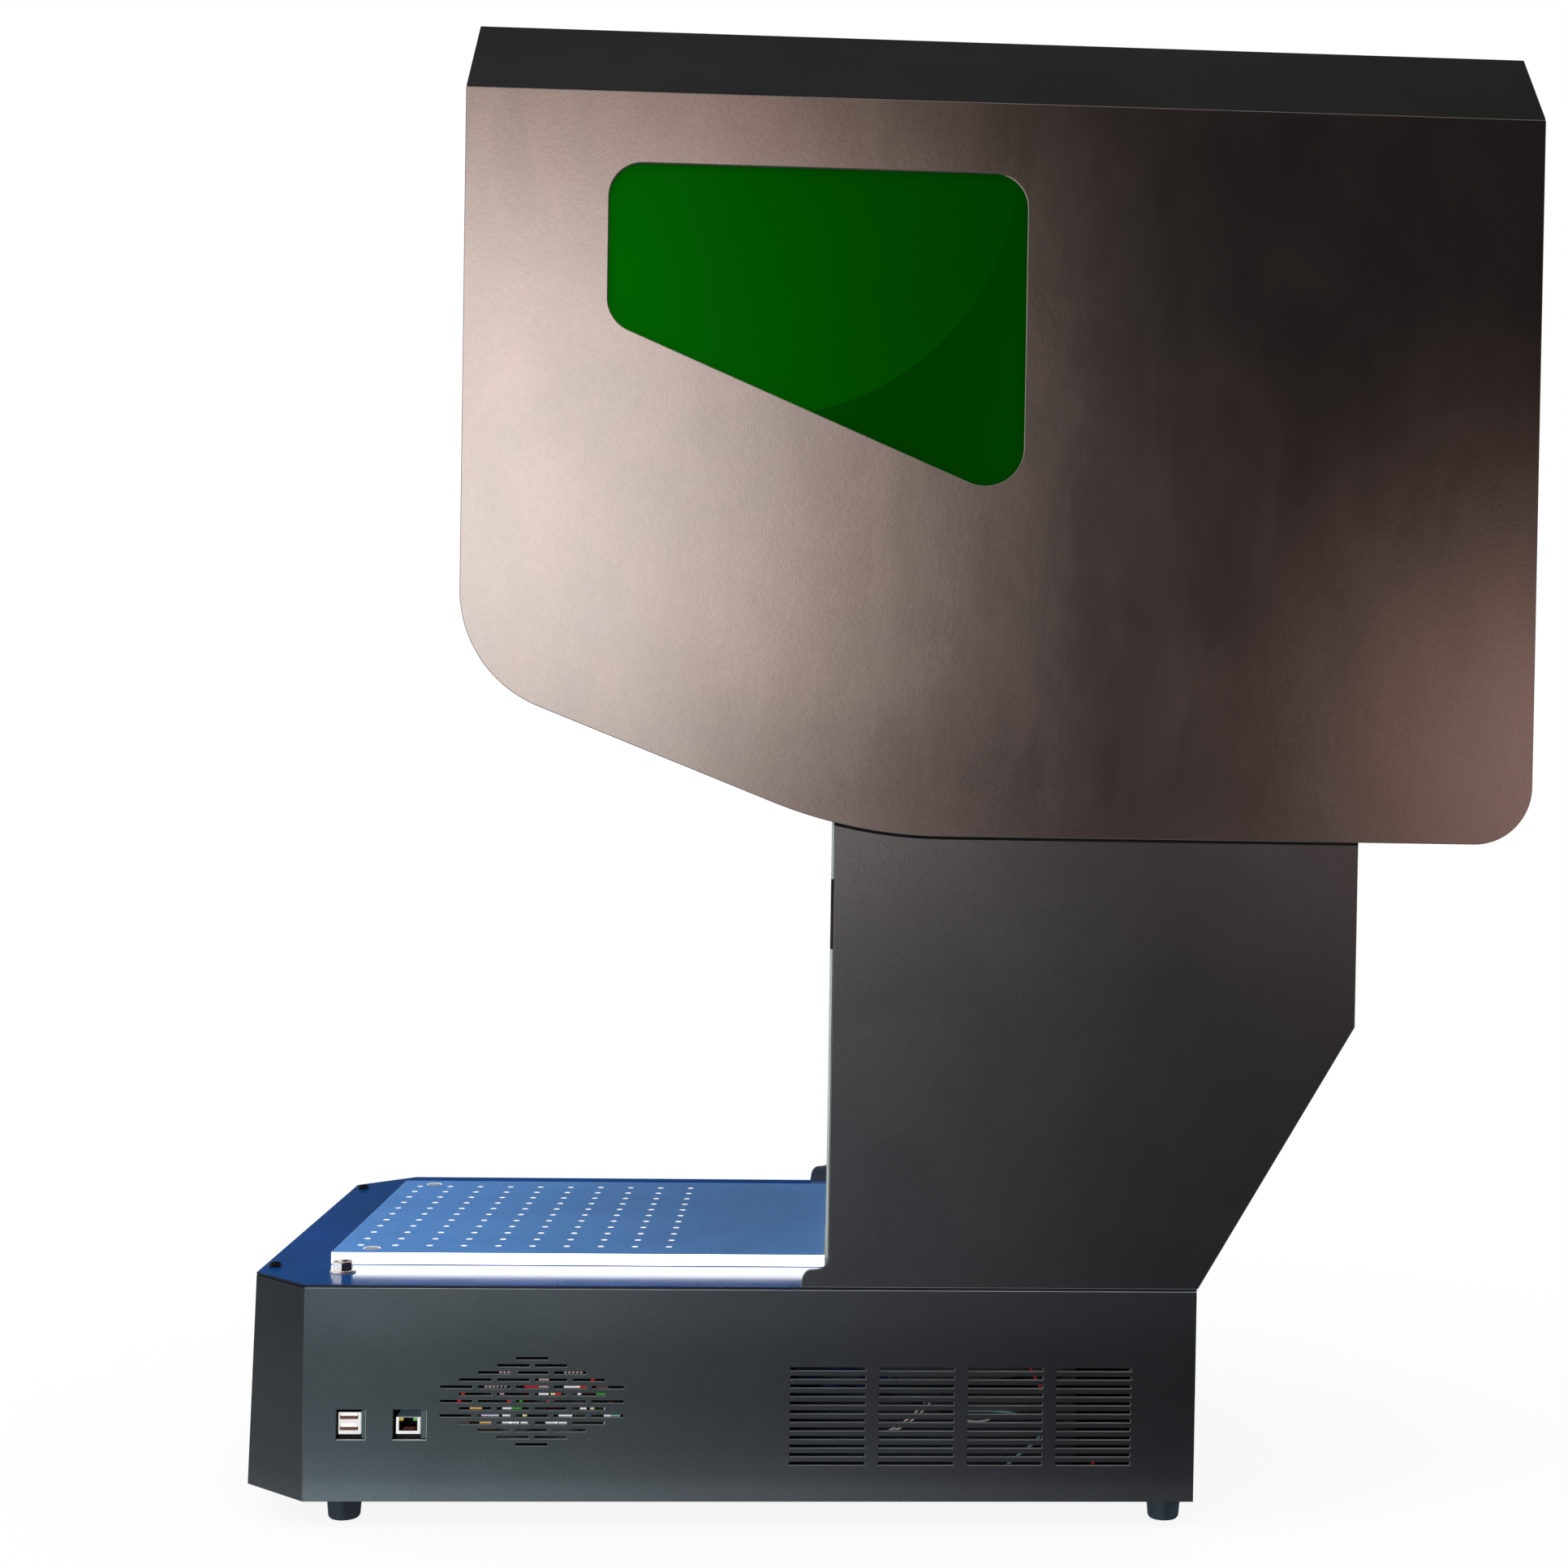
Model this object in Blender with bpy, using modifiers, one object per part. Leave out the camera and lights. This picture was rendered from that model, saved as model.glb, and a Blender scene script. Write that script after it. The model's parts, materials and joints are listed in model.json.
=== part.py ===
"""Desktop galvo laser cutter: a base box with a drilled work plate, a rear column and a hood that
carries the scan head and travels up and down on the column.

Frame: +Z up, the operator stands at -Y, +X is the operator's right.  The origin is the bottom
centre of the bounding box.  Dimensions are in millimetres, measured from a datum on the front face
of the column (y = 0), the centre plane (x = 0) and the underside of the base box (z = 0).  The
datum is an empty, and every piece hangs from it.
"""

import math

import bmesh
import bpy
from mathutils import Matrix, Vector

MM = 0.001
SIDES = (("right", 1), ("left", -1))

# ---------------------------------------------------------------- driving dimensions (mm)
GAP = 0.3                    # running and assembly gap between neighbours

FOOT_H = 16.0                # rubber feet
FOOT_X = 153.0
FOOT_ENDS = (("front", -271.3), ("rear", 195.2))
BASE_HALF = 178.0            # half the width across x
BASE_FRONT = -324.0          # front edge of the base at its top
BASE_REAR = 209.0
BASE_H = 121.0
BASE_LEAN = 3.7              # the front face stands this much further out at the bottom
CORNER = 34.0                # 45 degree front corners
SHEET = 2.5                  # side, front and rear sheets
TOP_T = 1.3                  # base top plate
SIDE_TOP = BASE_H - TOP_T - GAP
ON_BASE = BASE_H + GAP       # seat of everything that stands on the base

# side vents, in y and z
DIAMOND_ROWS = (1, 2, 3, 4, 5, 4, 5, 4, 5, 4, 3, 2, 1)   # slots per row, from the top
DIAMOND_CENTRE = (-163.6, 56.2)
DIAMOND_PITCH = (21.0, 4.03)
DIAMOND_SLOT = (8.9, 0.8)    # half sizes
BANKS = 4
BANK_Y = -19.9               # front end of the first bank
BANK_PITCH = 50.0
BANK_SLOT_L = 42.3
BANK_ROWS = 12
BANK_TOP = 75.0
BANK_ROW_PITCH = 4.85

# port openings in the right side: y from, y to, z from, z to
USB = (-271.6, -255.4, 34.5, 51.5)
LAN = (-240.4, -221.9, 34.5, 51.5)
BOARD_Z = 32.0

# centres on the rear panel, in x and z, with half sizes
INLET = (100.0, 62.0)
INLET_HALF = (14.0, 10.0)
ROCKER = (132.5, 62.0)
FAN = (-95.0, 60.0)
FAN_R = 37.0                 # guard opening
FAN_HALF = 40.0              # half the frame's side
GUARD_PITCH = 8.0
GUARD_SLOT_HALF = 2.2
GUARD_RIB_HALF = 1.5         # upright rib through the middle of the guard

# screws in the top, in x and y
TOP_SCREW = (128.7, -317.0)
STUD = (142.0, -275.9)
PLATE_SCREW = (108.5, -266.1)

PLATE_W = 244.0
PLATE_FRONT = -287.0
PLATE_REAR = -2.2
PLATE_T = 6.7
HOLE_PITCH = 20.0
HOLE_R = 1.7
HOLES_Y = 10
HOLES_X = 11
HOLE_FIRST = -274.2          # y of the front row of holes

CONTROL_Z = 64.0             # height of the front controls
ESTOP_X = -96.0
START_X = -40.0

COLUMN_FRONT = 0.2           # front edge of the side sheets, just behind the cladding
COLUMN_REAR = 296.4
COLUMN_KNEE = 270.6          # rear face turns forward here, down to the base's rear top edge
COLUMN_TOP = 450.0
FACE_T = 1.5                 # front cladding of the column
FACE_STEP = 138.0            # the cladding widens here, above the toes of the sides
GRILLE_Z0 = 311.6
GRILLE_Z1 = 350.3
GRILLE_PITCH = 14.0
GRILLE_SLOT_HALF = 4.5
GRILLE_EDGE = 7.0

SCREW_Y = 121.5              # ball screw axis
MAST_Y = 141.0               # front face of the mast
MAST_T = 16.0
RAIL_X = 70.0
RAIL_HALF = 6.0
RAIL_FRONT = MAST_Y - 10.0
CARRIAGE_FRONT = 96.0
CARRIAGE_REAR = 108.0

LENS_Y = -146.0              # optical axis
BEAM_X = 20.0
BEAM_Z = 551.0
ARM_UNDER = 602.0            # underside of the head arm above the galvo housing
GALVO_BOTTOM = 501.0
GALVO_REAR = LENS_Y + 55.0

HOOD_FRONT = -209.0
HOOD_REAR = 394.6
HOOD_HALF = 182.0            # half the width across x
HOOD_SIDE_T = 3.0
HOOD_INNER = HOOD_HALF - HOOD_SIDE_T - GAP
HOOD_SHEET = 2.0
HOOD_BOTTOM = 375.5
HOOD_SHOULDER = 785.0        # top of the side plates
HOOD_TOP = 832.5
HOOD_BEVEL = 49.0
COVER_FOOT_SHIFT = 1.42      # sideways shift of the cover's lower corners per unit of inset
COVER_CREST_SHIFT = 0.42     # the same for its upper corners
NOSE_R = 69.0                # lower front corner
BELLY_R = 260.0              # bend where the slope meets the level underside
HEEL_R = 33.0                # lower rear corner
NOSE_END = -6.0              # the front panel stops here, short of the column
SLOPE = -0.392               # dz/dy of the underside in front of the column
SLOPE_POINT = (-114.7, 424.6)
SLOPE_FRONT_Z = SLOPE_POINT[1] + SLOPE * (HOOD_FRONT - SLOPE_POINT[0])
SLOPE_END_Y = SLOPE_POINT[0] + (HOOD_BOTTOM - SLOPE_POINT[1]) / SLOPE
ARC_SEGMENTS = 8

WINDOW = [(-130.0, 746.0), (-130.0, 658.4), (102.6, 560.8), (102.6, 746.0)]   # y, z
WINDOW_LAP = 11.0            # the pane reaches this far past its opening
WINDOW_T = 3.0
REAR_SLOTS = 8
REAR_SLOT_Z = 722.0
REAR_SLOT_PITCH = 6.0
REAR_SLOT_H = 3.0

DATUM = (0.0, -22.5, FOOT_H)

# y, z down the curved lower front edge of the column sides
TOE = [(COLUMN_FRONT, 137.5), (-1.2, 134.0), (-3.6, 131.9), (-7.0, 131.1), (-10.3, 130.8),
       (-13.0, 128.8), (-14.3, 125.8), (-15.0, ON_BASE)]

MATERIALS = {
    "hood_paint": dict(color=(0.055, 0.047, 0.042), rough=0.38, metal=0.6),
    "top_paint": dict(color=(0.016, 0.016, 0.018), rough=0.4, metal=0.3),
    "column_paint": dict(color=(0.03, 0.031, 0.034), rough=0.45, metal=0.4),
    "base_paint": dict(color=(0.045, 0.055, 0.06), rough=0.45, metal=0.4),
    "blue_top": dict(color=(0.02, 0.09, 0.30), rough=0.12, metal=0.2),
    "plate_metal": dict(color=(0.35, 0.50, 0.72), rough=0.3, metal=1.0),
    "pale_face": dict(color=(0.62, 0.70, 0.66), rough=0.4, metal=0.0),
    "green_window": dict(color=(0.0, 0.12, 0.0), rough=0.08, metal=0.0, alpha=0.9),
    "steel": dict(color=(0.62, 0.62, 0.63), rough=0.28, metal=1.0),
    "nickel": dict(color=(0.78, 0.75, 0.70), rough=0.2, metal=1.0),
    "black_plastic": dict(color=(0.02, 0.02, 0.02), rough=0.4, metal=0.0),
    "black_screw": dict(color=(0.012, 0.012, 0.014), rough=0.35, metal=0.8),
    "rubber": dict(color=(0.02, 0.022, 0.026), rough=0.6, metal=0.0),
    "board": dict(color=(0.01, 0.10, 0.04), rough=0.4, metal=0.0),
    "aluminium": dict(color=(0.55, 0.56, 0.58), rough=0.35, metal=1.0),
    "red_plastic": dict(color=(0.55, 0.01, 0.01), rough=0.3, metal=0.0),
    "yellow_plastic": dict(color=(0.75, 0.5, 0.02), rough=0.35, metal=0.0),
    "green_plastic": dict(color=(0.02, 0.35, 0.08), rough=0.3, metal=0.0),
    "lens_glass": dict(color=(0.8, 0.85, 0.9), rough=0.02, metal=0.0, alpha=0.35),
    "mirror": dict(color=(0.9, 0.85, 0.7), rough=0.02, metal=1.0),
}


# ---------------------------------------------------------------- scene helpers
def new_collection(name):
    collection = bpy.data.collections.new(name)
    bpy.context.scene.collection.children.link(collection)
    return collection


def empty(name, loc, rot=(0, 0, 0), parent=None):
    ob = bpy.data.objects.new(name, None)
    ob.parent = parent
    ob.location = Vector(loc) * MM
    ob.rotation_euler = rot
    pieces.objects.link(ob)
    return ob


def material(name, color, rough, metal, alpha=1.0):
    mat = bpy.data.materials.new(name)
    mat.use_nodes = True
    inputs = mat.node_tree.nodes["Principled BSDF"].inputs
    inputs["Base Color"].default_value = (*color, 1.0)
    inputs["Roughness"].default_value = rough
    inputs["Metallic"].default_value = metal
    inputs["Alpha"].default_value = alpha
    return mat


def place(name, mesh, mat=None, loc=(0, 0, 0), rot=(0, 0, 0), parent=None):
    mesh.name = name
    if mat:
        mesh.materials.append(materials[mat])
    ob = bpy.data.objects.new(name, mesh)
    ob.parent = parent or datum
    ob.location = Vector(loc) * MM
    ob.rotation_euler = rot
    pieces.objects.link(ob)
    return ob


def combine(target, operation, name, mesh, modifier=None, **placing):
    """Adds a boolean modifier that works with a hidden helper made from the mesh."""
    helper = place(name, mesh, **placing)
    pieces.objects.unlink(helper)
    cutters.objects.link(helper)
    helper.hide_render = True
    helper.display_type = "WIRE"
    mod = target.modifiers.new(modifier or operation.lower(), "BOOLEAN")
    mod.operation = operation
    mod.solver = "EXACT"
    mod.object = helper


def cut(target, name, mesh, **placing):
    combine(target, "DIFFERENCE", name, mesh, **placing)


def fuse(target, name, mesh, **placing):
    combine(target, "UNION", name, mesh, **placing)


# ---------------------------------------------------------------- outlines
def circle(x, y, radius, segments):
    angles = [2 * math.pi * i / segments for i in range(segments)]
    return [(x + radius * math.cos(a), y + radius * math.sin(a)) for a in angles]


def rect(x0, x1, y0, y1):
    return [(x0, y0), (x1, y0), (x1, y1), (x0, y1)]


def centred(centre, half_x, half_y):
    x, y = centre
    return rect(x - half_x, x + half_x, y - half_y, y + half_y)


def rounded(points, radii, segments):
    """Replaces each corner of a polygon by an arc of the given radius."""
    out = []
    for i, radius in enumerate(radii):
        corner, before, after = (Vector(points[j % len(points)]) for j in (i, i - 1, i + 1))
        if radius <= 0:
            out.append(tuple(corner))
            continue
        to_before = (before - corner).normalized()
        to_after = (after - corner).normalized()
        half_angle = math.acos(max(-1, min(1, to_before.dot(to_after)))) / 2
        tangent = radius / math.tan(half_angle)
        middle = (to_before + to_after).normalized()
        centre = corner + middle * (radius / math.sin(half_angle))
        start = corner + to_before * tangent - centre
        end = corner + to_after * tangent - centre
        angle = math.atan2(start.y, start.x)
        sweep = (math.atan2(end.y, end.x) - angle + math.pi) % (2 * math.pi) - math.pi
        for j in range(segments + 1):
            a = angle + sweep * j / segments
            out.append((centre.x + radius * math.cos(a), centre.y + radius * math.sin(a)))
    return out


def directions(starts, ends):
    return [(Vector(end) - Vector(start)).normalized() for start, end in zip(starts, ends)]


def mitre(before, after):
    """Shift of a corner between two directions when both sides move left by one."""
    left_before, left_after = (Vector((-d.y, d.x)) for d in (before, after))
    return (left_before + left_after) / (1 + left_before.dot(left_after))


def inset(points, distance):
    """Moves each side of a counter-clockwise polygon inwards."""
    before = directions(points[-1:] + points[:-1], points)
    after = before[1:] + before[:1]
    return [tuple(Vector(p) + mitre(b, a) * distance) for p, b, a in zip(points, before, after)]


def strip(line, thickness):
    """Closed outline of a sheet whose outer face is an open line; the sheet lies to its left."""
    along = directions(line, line[1:])
    joins = zip(line, along[:1] + along, along + along[-1:])
    inner = [tuple(Vector(p) + mitre(b, a) * thickness) for p, b, a in joins]
    return list(line) + inner[::-1]


# ---------------------------------------------------------------- meshes
# drawing x, drawing y and the drawing's normal as matrix columns; axis of the extrusion range
PLANES = {
    "XY": (Matrix(((1, 0, 0), (0, 1, 0), (0, 0, 1))), Vector((0, 0, 1))),
    "YZ": (Matrix(((0, 0, 1), (1, 0, 0), (0, 1, 0))), Vector((1, 0, 0))),
    "XZ": (Matrix(((1, 0, 0), (0, 0, -1), (0, 1, 0))), Vector((0, 1, 0))),
}


def flat(outline, holes, lo, hi, plane):
    """An outline with holes, drawn in a plane and extruded from lo to hi along the third axis."""
    curve = bpy.data.curves.new("outline", "CURVE")
    curve.dimensions = "2D"
    curve.fill_mode = "BOTH"
    curve.extrude = (hi - lo) / 2 * MM
    for points in [outline] + holes:
        spline = curve.splines.new("POLY")
        spline.points.add(len(points) - 1)
        for target, (x, y) in zip(spline.points, points):
            target.co = (x * MM, y * MM, 0, 1)
        spline.use_cyclic_u = True
    ob = bpy.data.objects.new("outline", curve)
    bpy.context.scene.collection.objects.link(ob)
    depsgraph = bpy.context.evaluated_depsgraph_get()
    mesh = bpy.data.meshes.new_from_object(ob.evaluated_get(depsgraph))
    bpy.data.objects.remove(ob, do_unlink=True)
    bpy.data.curves.remove(curve)
    turn, axis = PLANES[plane]
    mesh.transform(Matrix.Translation(axis * ((lo + hi) / 2 * MM)) @ turn.to_4x4())
    # the curve's caps and rim come unjoined
    bm = bmesh.new()
    bm.from_mesh(mesh)
    bmesh.ops.remove_doubles(bm, verts=bm.verts, dist=0.000001)
    bmesh.ops.recalc_face_normals(bm, faces=bm.faces)
    return finish(bm, mesh)


def finish(bm, mesh=None):
    mesh = mesh or bpy.data.meshes.new("mesh")
    bm.to_mesh(mesh)
    bm.free()
    return mesh


def block(x0, x1, y0, y1, z0, z1):
    size = Vector((x1 - x0, y1 - y0, z1 - z0)) * MM
    centre = Vector((x0 + x1, y0 + y1, z0 + z1)) / 2 * MM
    bm = bmesh.new()
    bmesh.ops.create_cube(bm, size=1.0)
    bmesh.ops.scale(bm, vec=size, verts=bm.verts)
    bmesh.ops.translate(bm, vec=centre, verts=bm.verts)
    return finish(bm)


def rod(radius, z0, z1, segments):
    bm = bmesh.new()
    bmesh.ops.create_cone(bm, cap_ends=True, segments=segments, radius1=radius * MM,
                          radius2=radius * MM, depth=(z1 - z0) * MM)
    bmesh.ops.translate(bm, vec=(0, 0, (z0 + z1) / 2 * MM), verts=bm.verts)
    mesh = finish(bm)
    mesh.shade_smooth()
    mesh.set_sharp_from_angle(angle=math.radians(40))
    return mesh


def forward_rod(radius, start, end, segments):
    """A rod along y; start and end are measured towards -y."""
    mesh = rod(radius, start, end, segments)
    mesh.transform(Matrix.Rotation(math.pi / 2, 4, "X"))
    return mesh


def turned(name, profile, mat, loc, steps, ring=False, **placing):
    """A profile of (radius, z) turned round the local z axis; a ring's profile is closed."""
    bm = bmesh.new()
    verts = [bm.verts.new((radius * MM, 0, z * MM)) for radius, z in profile]
    ends = verts[1:] + verts[:1] if ring else verts[1:]
    for pair in zip(verts, ends):
        bm.edges.new(pair)
    ob = place(name, finish(bm), mat, loc, **placing)
    mod = ob.modifiers.new("turn", "SCREW")
    mod.axis = "Z"
    mod.angle = 2 * math.pi
    mod.steps = steps
    mod.render_steps = steps
    mod.use_merge_vertices = True
    mod.merge_threshold = 0.000005
    mod.use_smooth_shade = True


def sheet(name, rows, thickness, mat):
    """A bent sheet: rows of points joined in order, thickened towards the inside."""
    rows = [[Vector(p) * MM for p in row] for row in rows]
    bm = bmesh.new()
    first = [bm.verts.new(p) for p in rows[0]]
    edges = [bm.edges.new(pair) for pair in zip(first, first[1:])]
    for old, row in zip(rows, rows[1:]):
        made = bmesh.ops.extrude_edge_only(bm, edges=edges)["geom"]
        edges = [item for item in made if isinstance(item, bmesh.types.BMEdge)]
        for vert in made:
            if isinstance(vert, bmesh.types.BMVert):
                # a new vertex still lies on the point it was extruded from
                k = min(range(len(old)), key=lambda i: (vert.co - old[i]).length)
                vert.co = row[k]
    bmesh.ops.recalc_face_normals(bm, faces=bm.faces)
    ob = place(name, finish(bm), mat)
    mod = ob.modifiers.new("thickness", "SOLIDIFY")
    mod.thickness = thickness * MM
    mod.offset = -1
    mod.use_even_offset = True
    return ob


def side_range(sign, outer, thickness):
    """The x range of a wall on one side, given its outer face on the right."""
    return sorted((sign * outer, sign * (outer - thickness)))


# ---------------------------------------------------------------- base box
def base_outline(front):
    w = BASE_HALF
    return [(-w, BASE_REAR), (-w, BASE_FRONT + CORNER), (-w + CORNER, front),
            (w - CORNER, front), (w, BASE_FRONT + CORNER), (w, BASE_REAR)]


def diamond_slots():
    pitch_y, pitch_z = DIAMOND_PITCH
    out = []
    for j, count in enumerate(DIAMOND_ROWS):
        z = DIAMOND_CENTRE[1] + ((len(DIAMOND_ROWS) - 1) / 2 - j) * pitch_z
        for i in range(count):
            y = DIAMOND_CENTRE[0] + (i - (count - 1) / 2) * pitch_y
            out.append(centred((y, z), *DIAMOND_SLOT))
    return out


def bank_slots():
    out = []
    for bank in range(BANKS):
        y = BANK_Y + BANK_PITCH * bank
        for j in range(BANK_ROWS):
            z = BANK_TOP - BANK_ROW_PITCH * j
            out.append(rect(y, y + BANK_SLOT_L, z - 1.0, z + 1.0))
    return out


def base_side(side, sign, holes):
    front = BASE_FRONT + CORNER + 0.4
    mesh = flat(rect(front, BASE_REAR, 0.0, SIDE_TOP), holes,
                *side_range(sign, BASE_HALF, SHEET), "YZ")
    # the front edge is mitred to the corner sheet
    for v in mesh.vertices:
        if v.co.y < (front + 0.1) * MM and abs(v.co.x) < (BASE_HALF - SHEET / 2) * MM:
            v.co.y += SHEET * MM
    place(f"base_side_{side}", mesh, "base_paint")


def base_front_panel():
    """Leans outwards to the bottom between the corners; its outer ends stay upright."""
    def face_point(x, y, z):
        lean = BASE_LEAN if abs(x) < BASE_HALF - 1 else 0
        return (x, y - lean * (1 - z / BASE_H), z)

    rows = [[face_point(x, y, z) for x, y in base_outline(BASE_FRONT)[1:5]]
            for z in (0.0, SIDE_TOP)]
    panel = sheet("base_front_panel", rows, SHEET, "base_paint")
    for name, radius, x in (("estop_hole", 11.3, ESTOP_X), ("start_hole", 8.0, START_X)):
        cut(panel, name, rod(radius, -8, 8, 24), loc=(x, 0, 0), parent=controls)


def fan_guard():
    """Level slots that fill a circle, split by the middle rib."""
    x, out = FAN[0], []
    for j in range(-4, 5):
        z = FAN[1] + GUARD_PITCH * j
        reach = GUARD_PITCH * abs(j) + GUARD_SLOT_HALF
        half = math.sqrt(max(0.0, (FAN_R - 1) ** 2 - reach ** 2))
        for x0, x1 in ((x - half, x - GUARD_RIB_HALF), (x + GUARD_RIB_HALF, x + half)):
            out.append(rect(x0, x1, z - GUARD_SLOT_HALF, z + GUARD_SLOT_HALF))
    return out


def base_box():
    outline = inset(base_outline(BASE_FRONT - BASE_LEAN), SHEET + 2 * GAP)
    place("base_tray", flat(outline, [], 0.5, 2.5, "XY"), "base_paint")
    base_side("right", 1, diamond_slots() + bank_slots() + [rect(*USB), rect(*LAN)])
    base_side("left", -1, bank_slots())
    base_front_panel()

    half = BASE_HALF - SHEET - GAP
    openings = [centred(INLET, *(size + GAP for size in INLET_HALF)), centred(ROCKER, 7.6, 11.6)]
    place("base_rear_panel",
          flat(rect(-half, half, 0.0, SIDE_TOP), fan_guard() + openings,
               BASE_REAR - SHEET, BASE_REAR, "XZ"), "base_paint")

    holes = [circle(sign * TOP_SCREW[0], TOP_SCREW[1], 2.2, 8) for _, sign in SIDES]
    holes.append(circle(*STUD, 3.3, 8))
    place("base_top_plate", flat(base_outline(BASE_FRONT), holes, BASE_H - TOP_T, BASE_H, "XY"),
          "blue_top")


def feet():
    profile = [(0, 0.2), (10.0, 0.2), (10.0, -1.0), (8.8, -15.0), (7.8, -FOOT_H), (0, -FOOT_H)]
    for end, y in FOOT_ENDS:
        for side, sign in SIDES:
            turned(f"foot_{end}_{side}", profile, "rubber", (sign * FOOT_X, y, 0), steps=16)


# ---------------------------------------------------------------- work plate and top hardware
def work_plate():
    holes = [circle(HOLE_PITCH * (j - (HOLES_X - 1) / 2), HOLE_FIRST + HOLE_PITCH * i, HOLE_R, 6)
             for i in range(HOLES_Y) for j in range(HOLES_X)]
    holes += [circle(sign * PLATE_SCREW[0], PLATE_SCREW[1], 4.8, 12) for _, sign in SIDES]
    outline = rounded(rect(-PLATE_W / 2, PLATE_W / 2, PLATE_FRONT, PLATE_REAR), [1.5] * 4, 2)
    place("work_plate", flat(outline, holes, ON_BASE, ON_BASE + PLATE_T, "XY"), "plate_metal")


def top_hardware():
    countersunk = [(0, 5.2), (4.2, 5.2), (4.2, 3.6), (2.6, 2.0), (2.6, 0.0), (0, 0.0)]
    button_head = [(0, 2.3), (2.2, 2.0), (3.4, 1.1), (3.8, 0.0), (1.7, 0.0), (1.7, -8.0),
                   (0, -8.0)]
    for side, sign in SIDES:
        turned(f"plate_screw_{side}", countersunk, "nickel",
               (sign * PLATE_SCREW[0], PLATE_SCREW[1], ON_BASE + 1.4), steps=12)
        turned(f"top_screw_{side}", button_head, "black_screw",
               (sign * TOP_SCREW[0], TOP_SCREW[1], ON_BASE), steps=12)

    # earth stud: hexagon nut on its washer, beside the plate's front right corner
    look = dict(mat="nickel", loc=(*STUD, ON_BASE))
    nut = place("earth_nut", rod(6.1, 0.6, 5.9, 6), **look)
    fuse(nut, "nut_washer", rod(7.6, 0.0, 0.7, 16), **look)
    fuse(nut, "nut_stud", rod(2.9, -9.0, 6.5, 12), **look)


# ---------------------------------------------------------------- electronics in the base
def port(name, opening, clearance, inner_end, wall, sockets):
    """A connector shell behind its opening; sockets are rows of name, z from, z to."""
    y0, y1 = opening[0] + clearance, opening[1] - clearance
    shell = place(name, block(inner_end, BASE_HALF + 0.2, y0, y1, BOARD_Z + 3.0, opening[3] - GAP),
                  "nickel")
    for socket, z0, z1 in sockets:
        cut(shell, socket, block(inner_end + 8, BASE_HALF + 2, y0 + wall, y1 - wall, z0, z1))


def electronics():
    place("mainboard", block(40, 172, -284, -70, BOARD_Z, BOARD_Z + 1.6), "board")
    port("usb_port", USB, 1.0, 158, 1.2, [("usb_slot_37", 37.0, 42.0), ("usb_slot_44", 44.4, 49.4)])
    port("lan_port", LAN, 0.5, 156, 2.5, [("lan_socket", 37.0, 46.5)])
    place("power_supply", block(-165, -66, -20, 165, 6, 56), "aluminium")


def fan_frame():
    x, z = FAN
    reach, half = 39, 2.5     # spoke half length and half width
    outline = rounded(centred(FAN, FAN_HALF, FAN_HALF), [4] * 4, 2)
    frame = place("fan_frame", flat(outline, [circle(x, z, 38.0, 24)], 180.5, 205.5, "XZ"),
                  "black_plastic")
    fuse(frame, "fan_spokes", block(x - reach, x + reach, 180.6, 183.5, z - half, z + half))
    fuse(frame, "fan_spoke_b", block(x - half, x + half, 180.7, 183.4, z - reach, z + reach))
    fuse(frame, "fan_motor_disc", forward_rod(17, -1.3, 1.3, 16), loc=(x, 182.2, z))


def fan_rotor():
    """Hub with seven blades, drawn flat and twisted along the axis."""
    blades, half_depth, twist = 7, 8.5, -0.35
    # radius and angle offset round each blade
    blade = ((16, -0.20), (36, -0.05), (36, 0.05), (16, 0.20))
    points = []
    for i in range(blades):
        middle = 2 * math.pi * i / blades
        points += [(r * math.cos(middle + d), r * math.sin(middle + d)) for r, d in blade]
    mesh = flat(points, [], -half_depth, half_depth, "XY")
    for v in mesh.vertices:
        v.co = Matrix.Rotation(twist * v.co.z / (half_depth * MM), 3, "Z") @ v.co
    place("fan_rotor", mesh, "black_plastic", (FAN[0], 194.5, FAN[1]), (math.pi / 2, 0, 0))


def power_inlet():
    x, z = INLET
    half_x, half_z = INLET_HALF
    inlet = place("power_inlet",
                  block(x - half_x, x + half_x, 186, BASE_REAR + 0.2, z - half_z, z + half_z),
                  "black_plastic")
    outline = rounded(rect(x - 20, ROCKER[0] + 12, z - 16, z + 16), [3] * 4, 2)
    flange = flat(outline, [centred(ROCKER, 7.2, 11.2)], BASE_REAR + 0.1, BASE_REAR + 2.5, "XZ")
    fuse(inlet, "inlet_flange", flange, modifier="flange")
    cut(inlet, "plug_recess", block(x - 11.5, x + 11.5, 193, 214, z - 7.5, z + 7.5))


def power_rocker():
    """Rests in its OFF position, tilted eight degrees with its top end standing out."""
    profile = [(-10.6, 1.9), (-10.2, -2.6), (-3.0, -9.0), (3.0, -9.0), (10.2, -2.6), (10.6, 1.9),
               (0.0, 0.2)]
    mesh = flat(profile, [], -6.6, 6.6, "XY")
    # drawing x turns down to -z and the extrusion to x; drawing y still points to the rear
    mesh.transform(Matrix.Rotation(math.pi / 2, 4, "Y"))
    place("power_rocker", mesh, "black_plastic", (ROCKER[0], BASE_REAR + 0.5, ROCKER[1]),
          (math.radians(-8), 0, 0))


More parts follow.
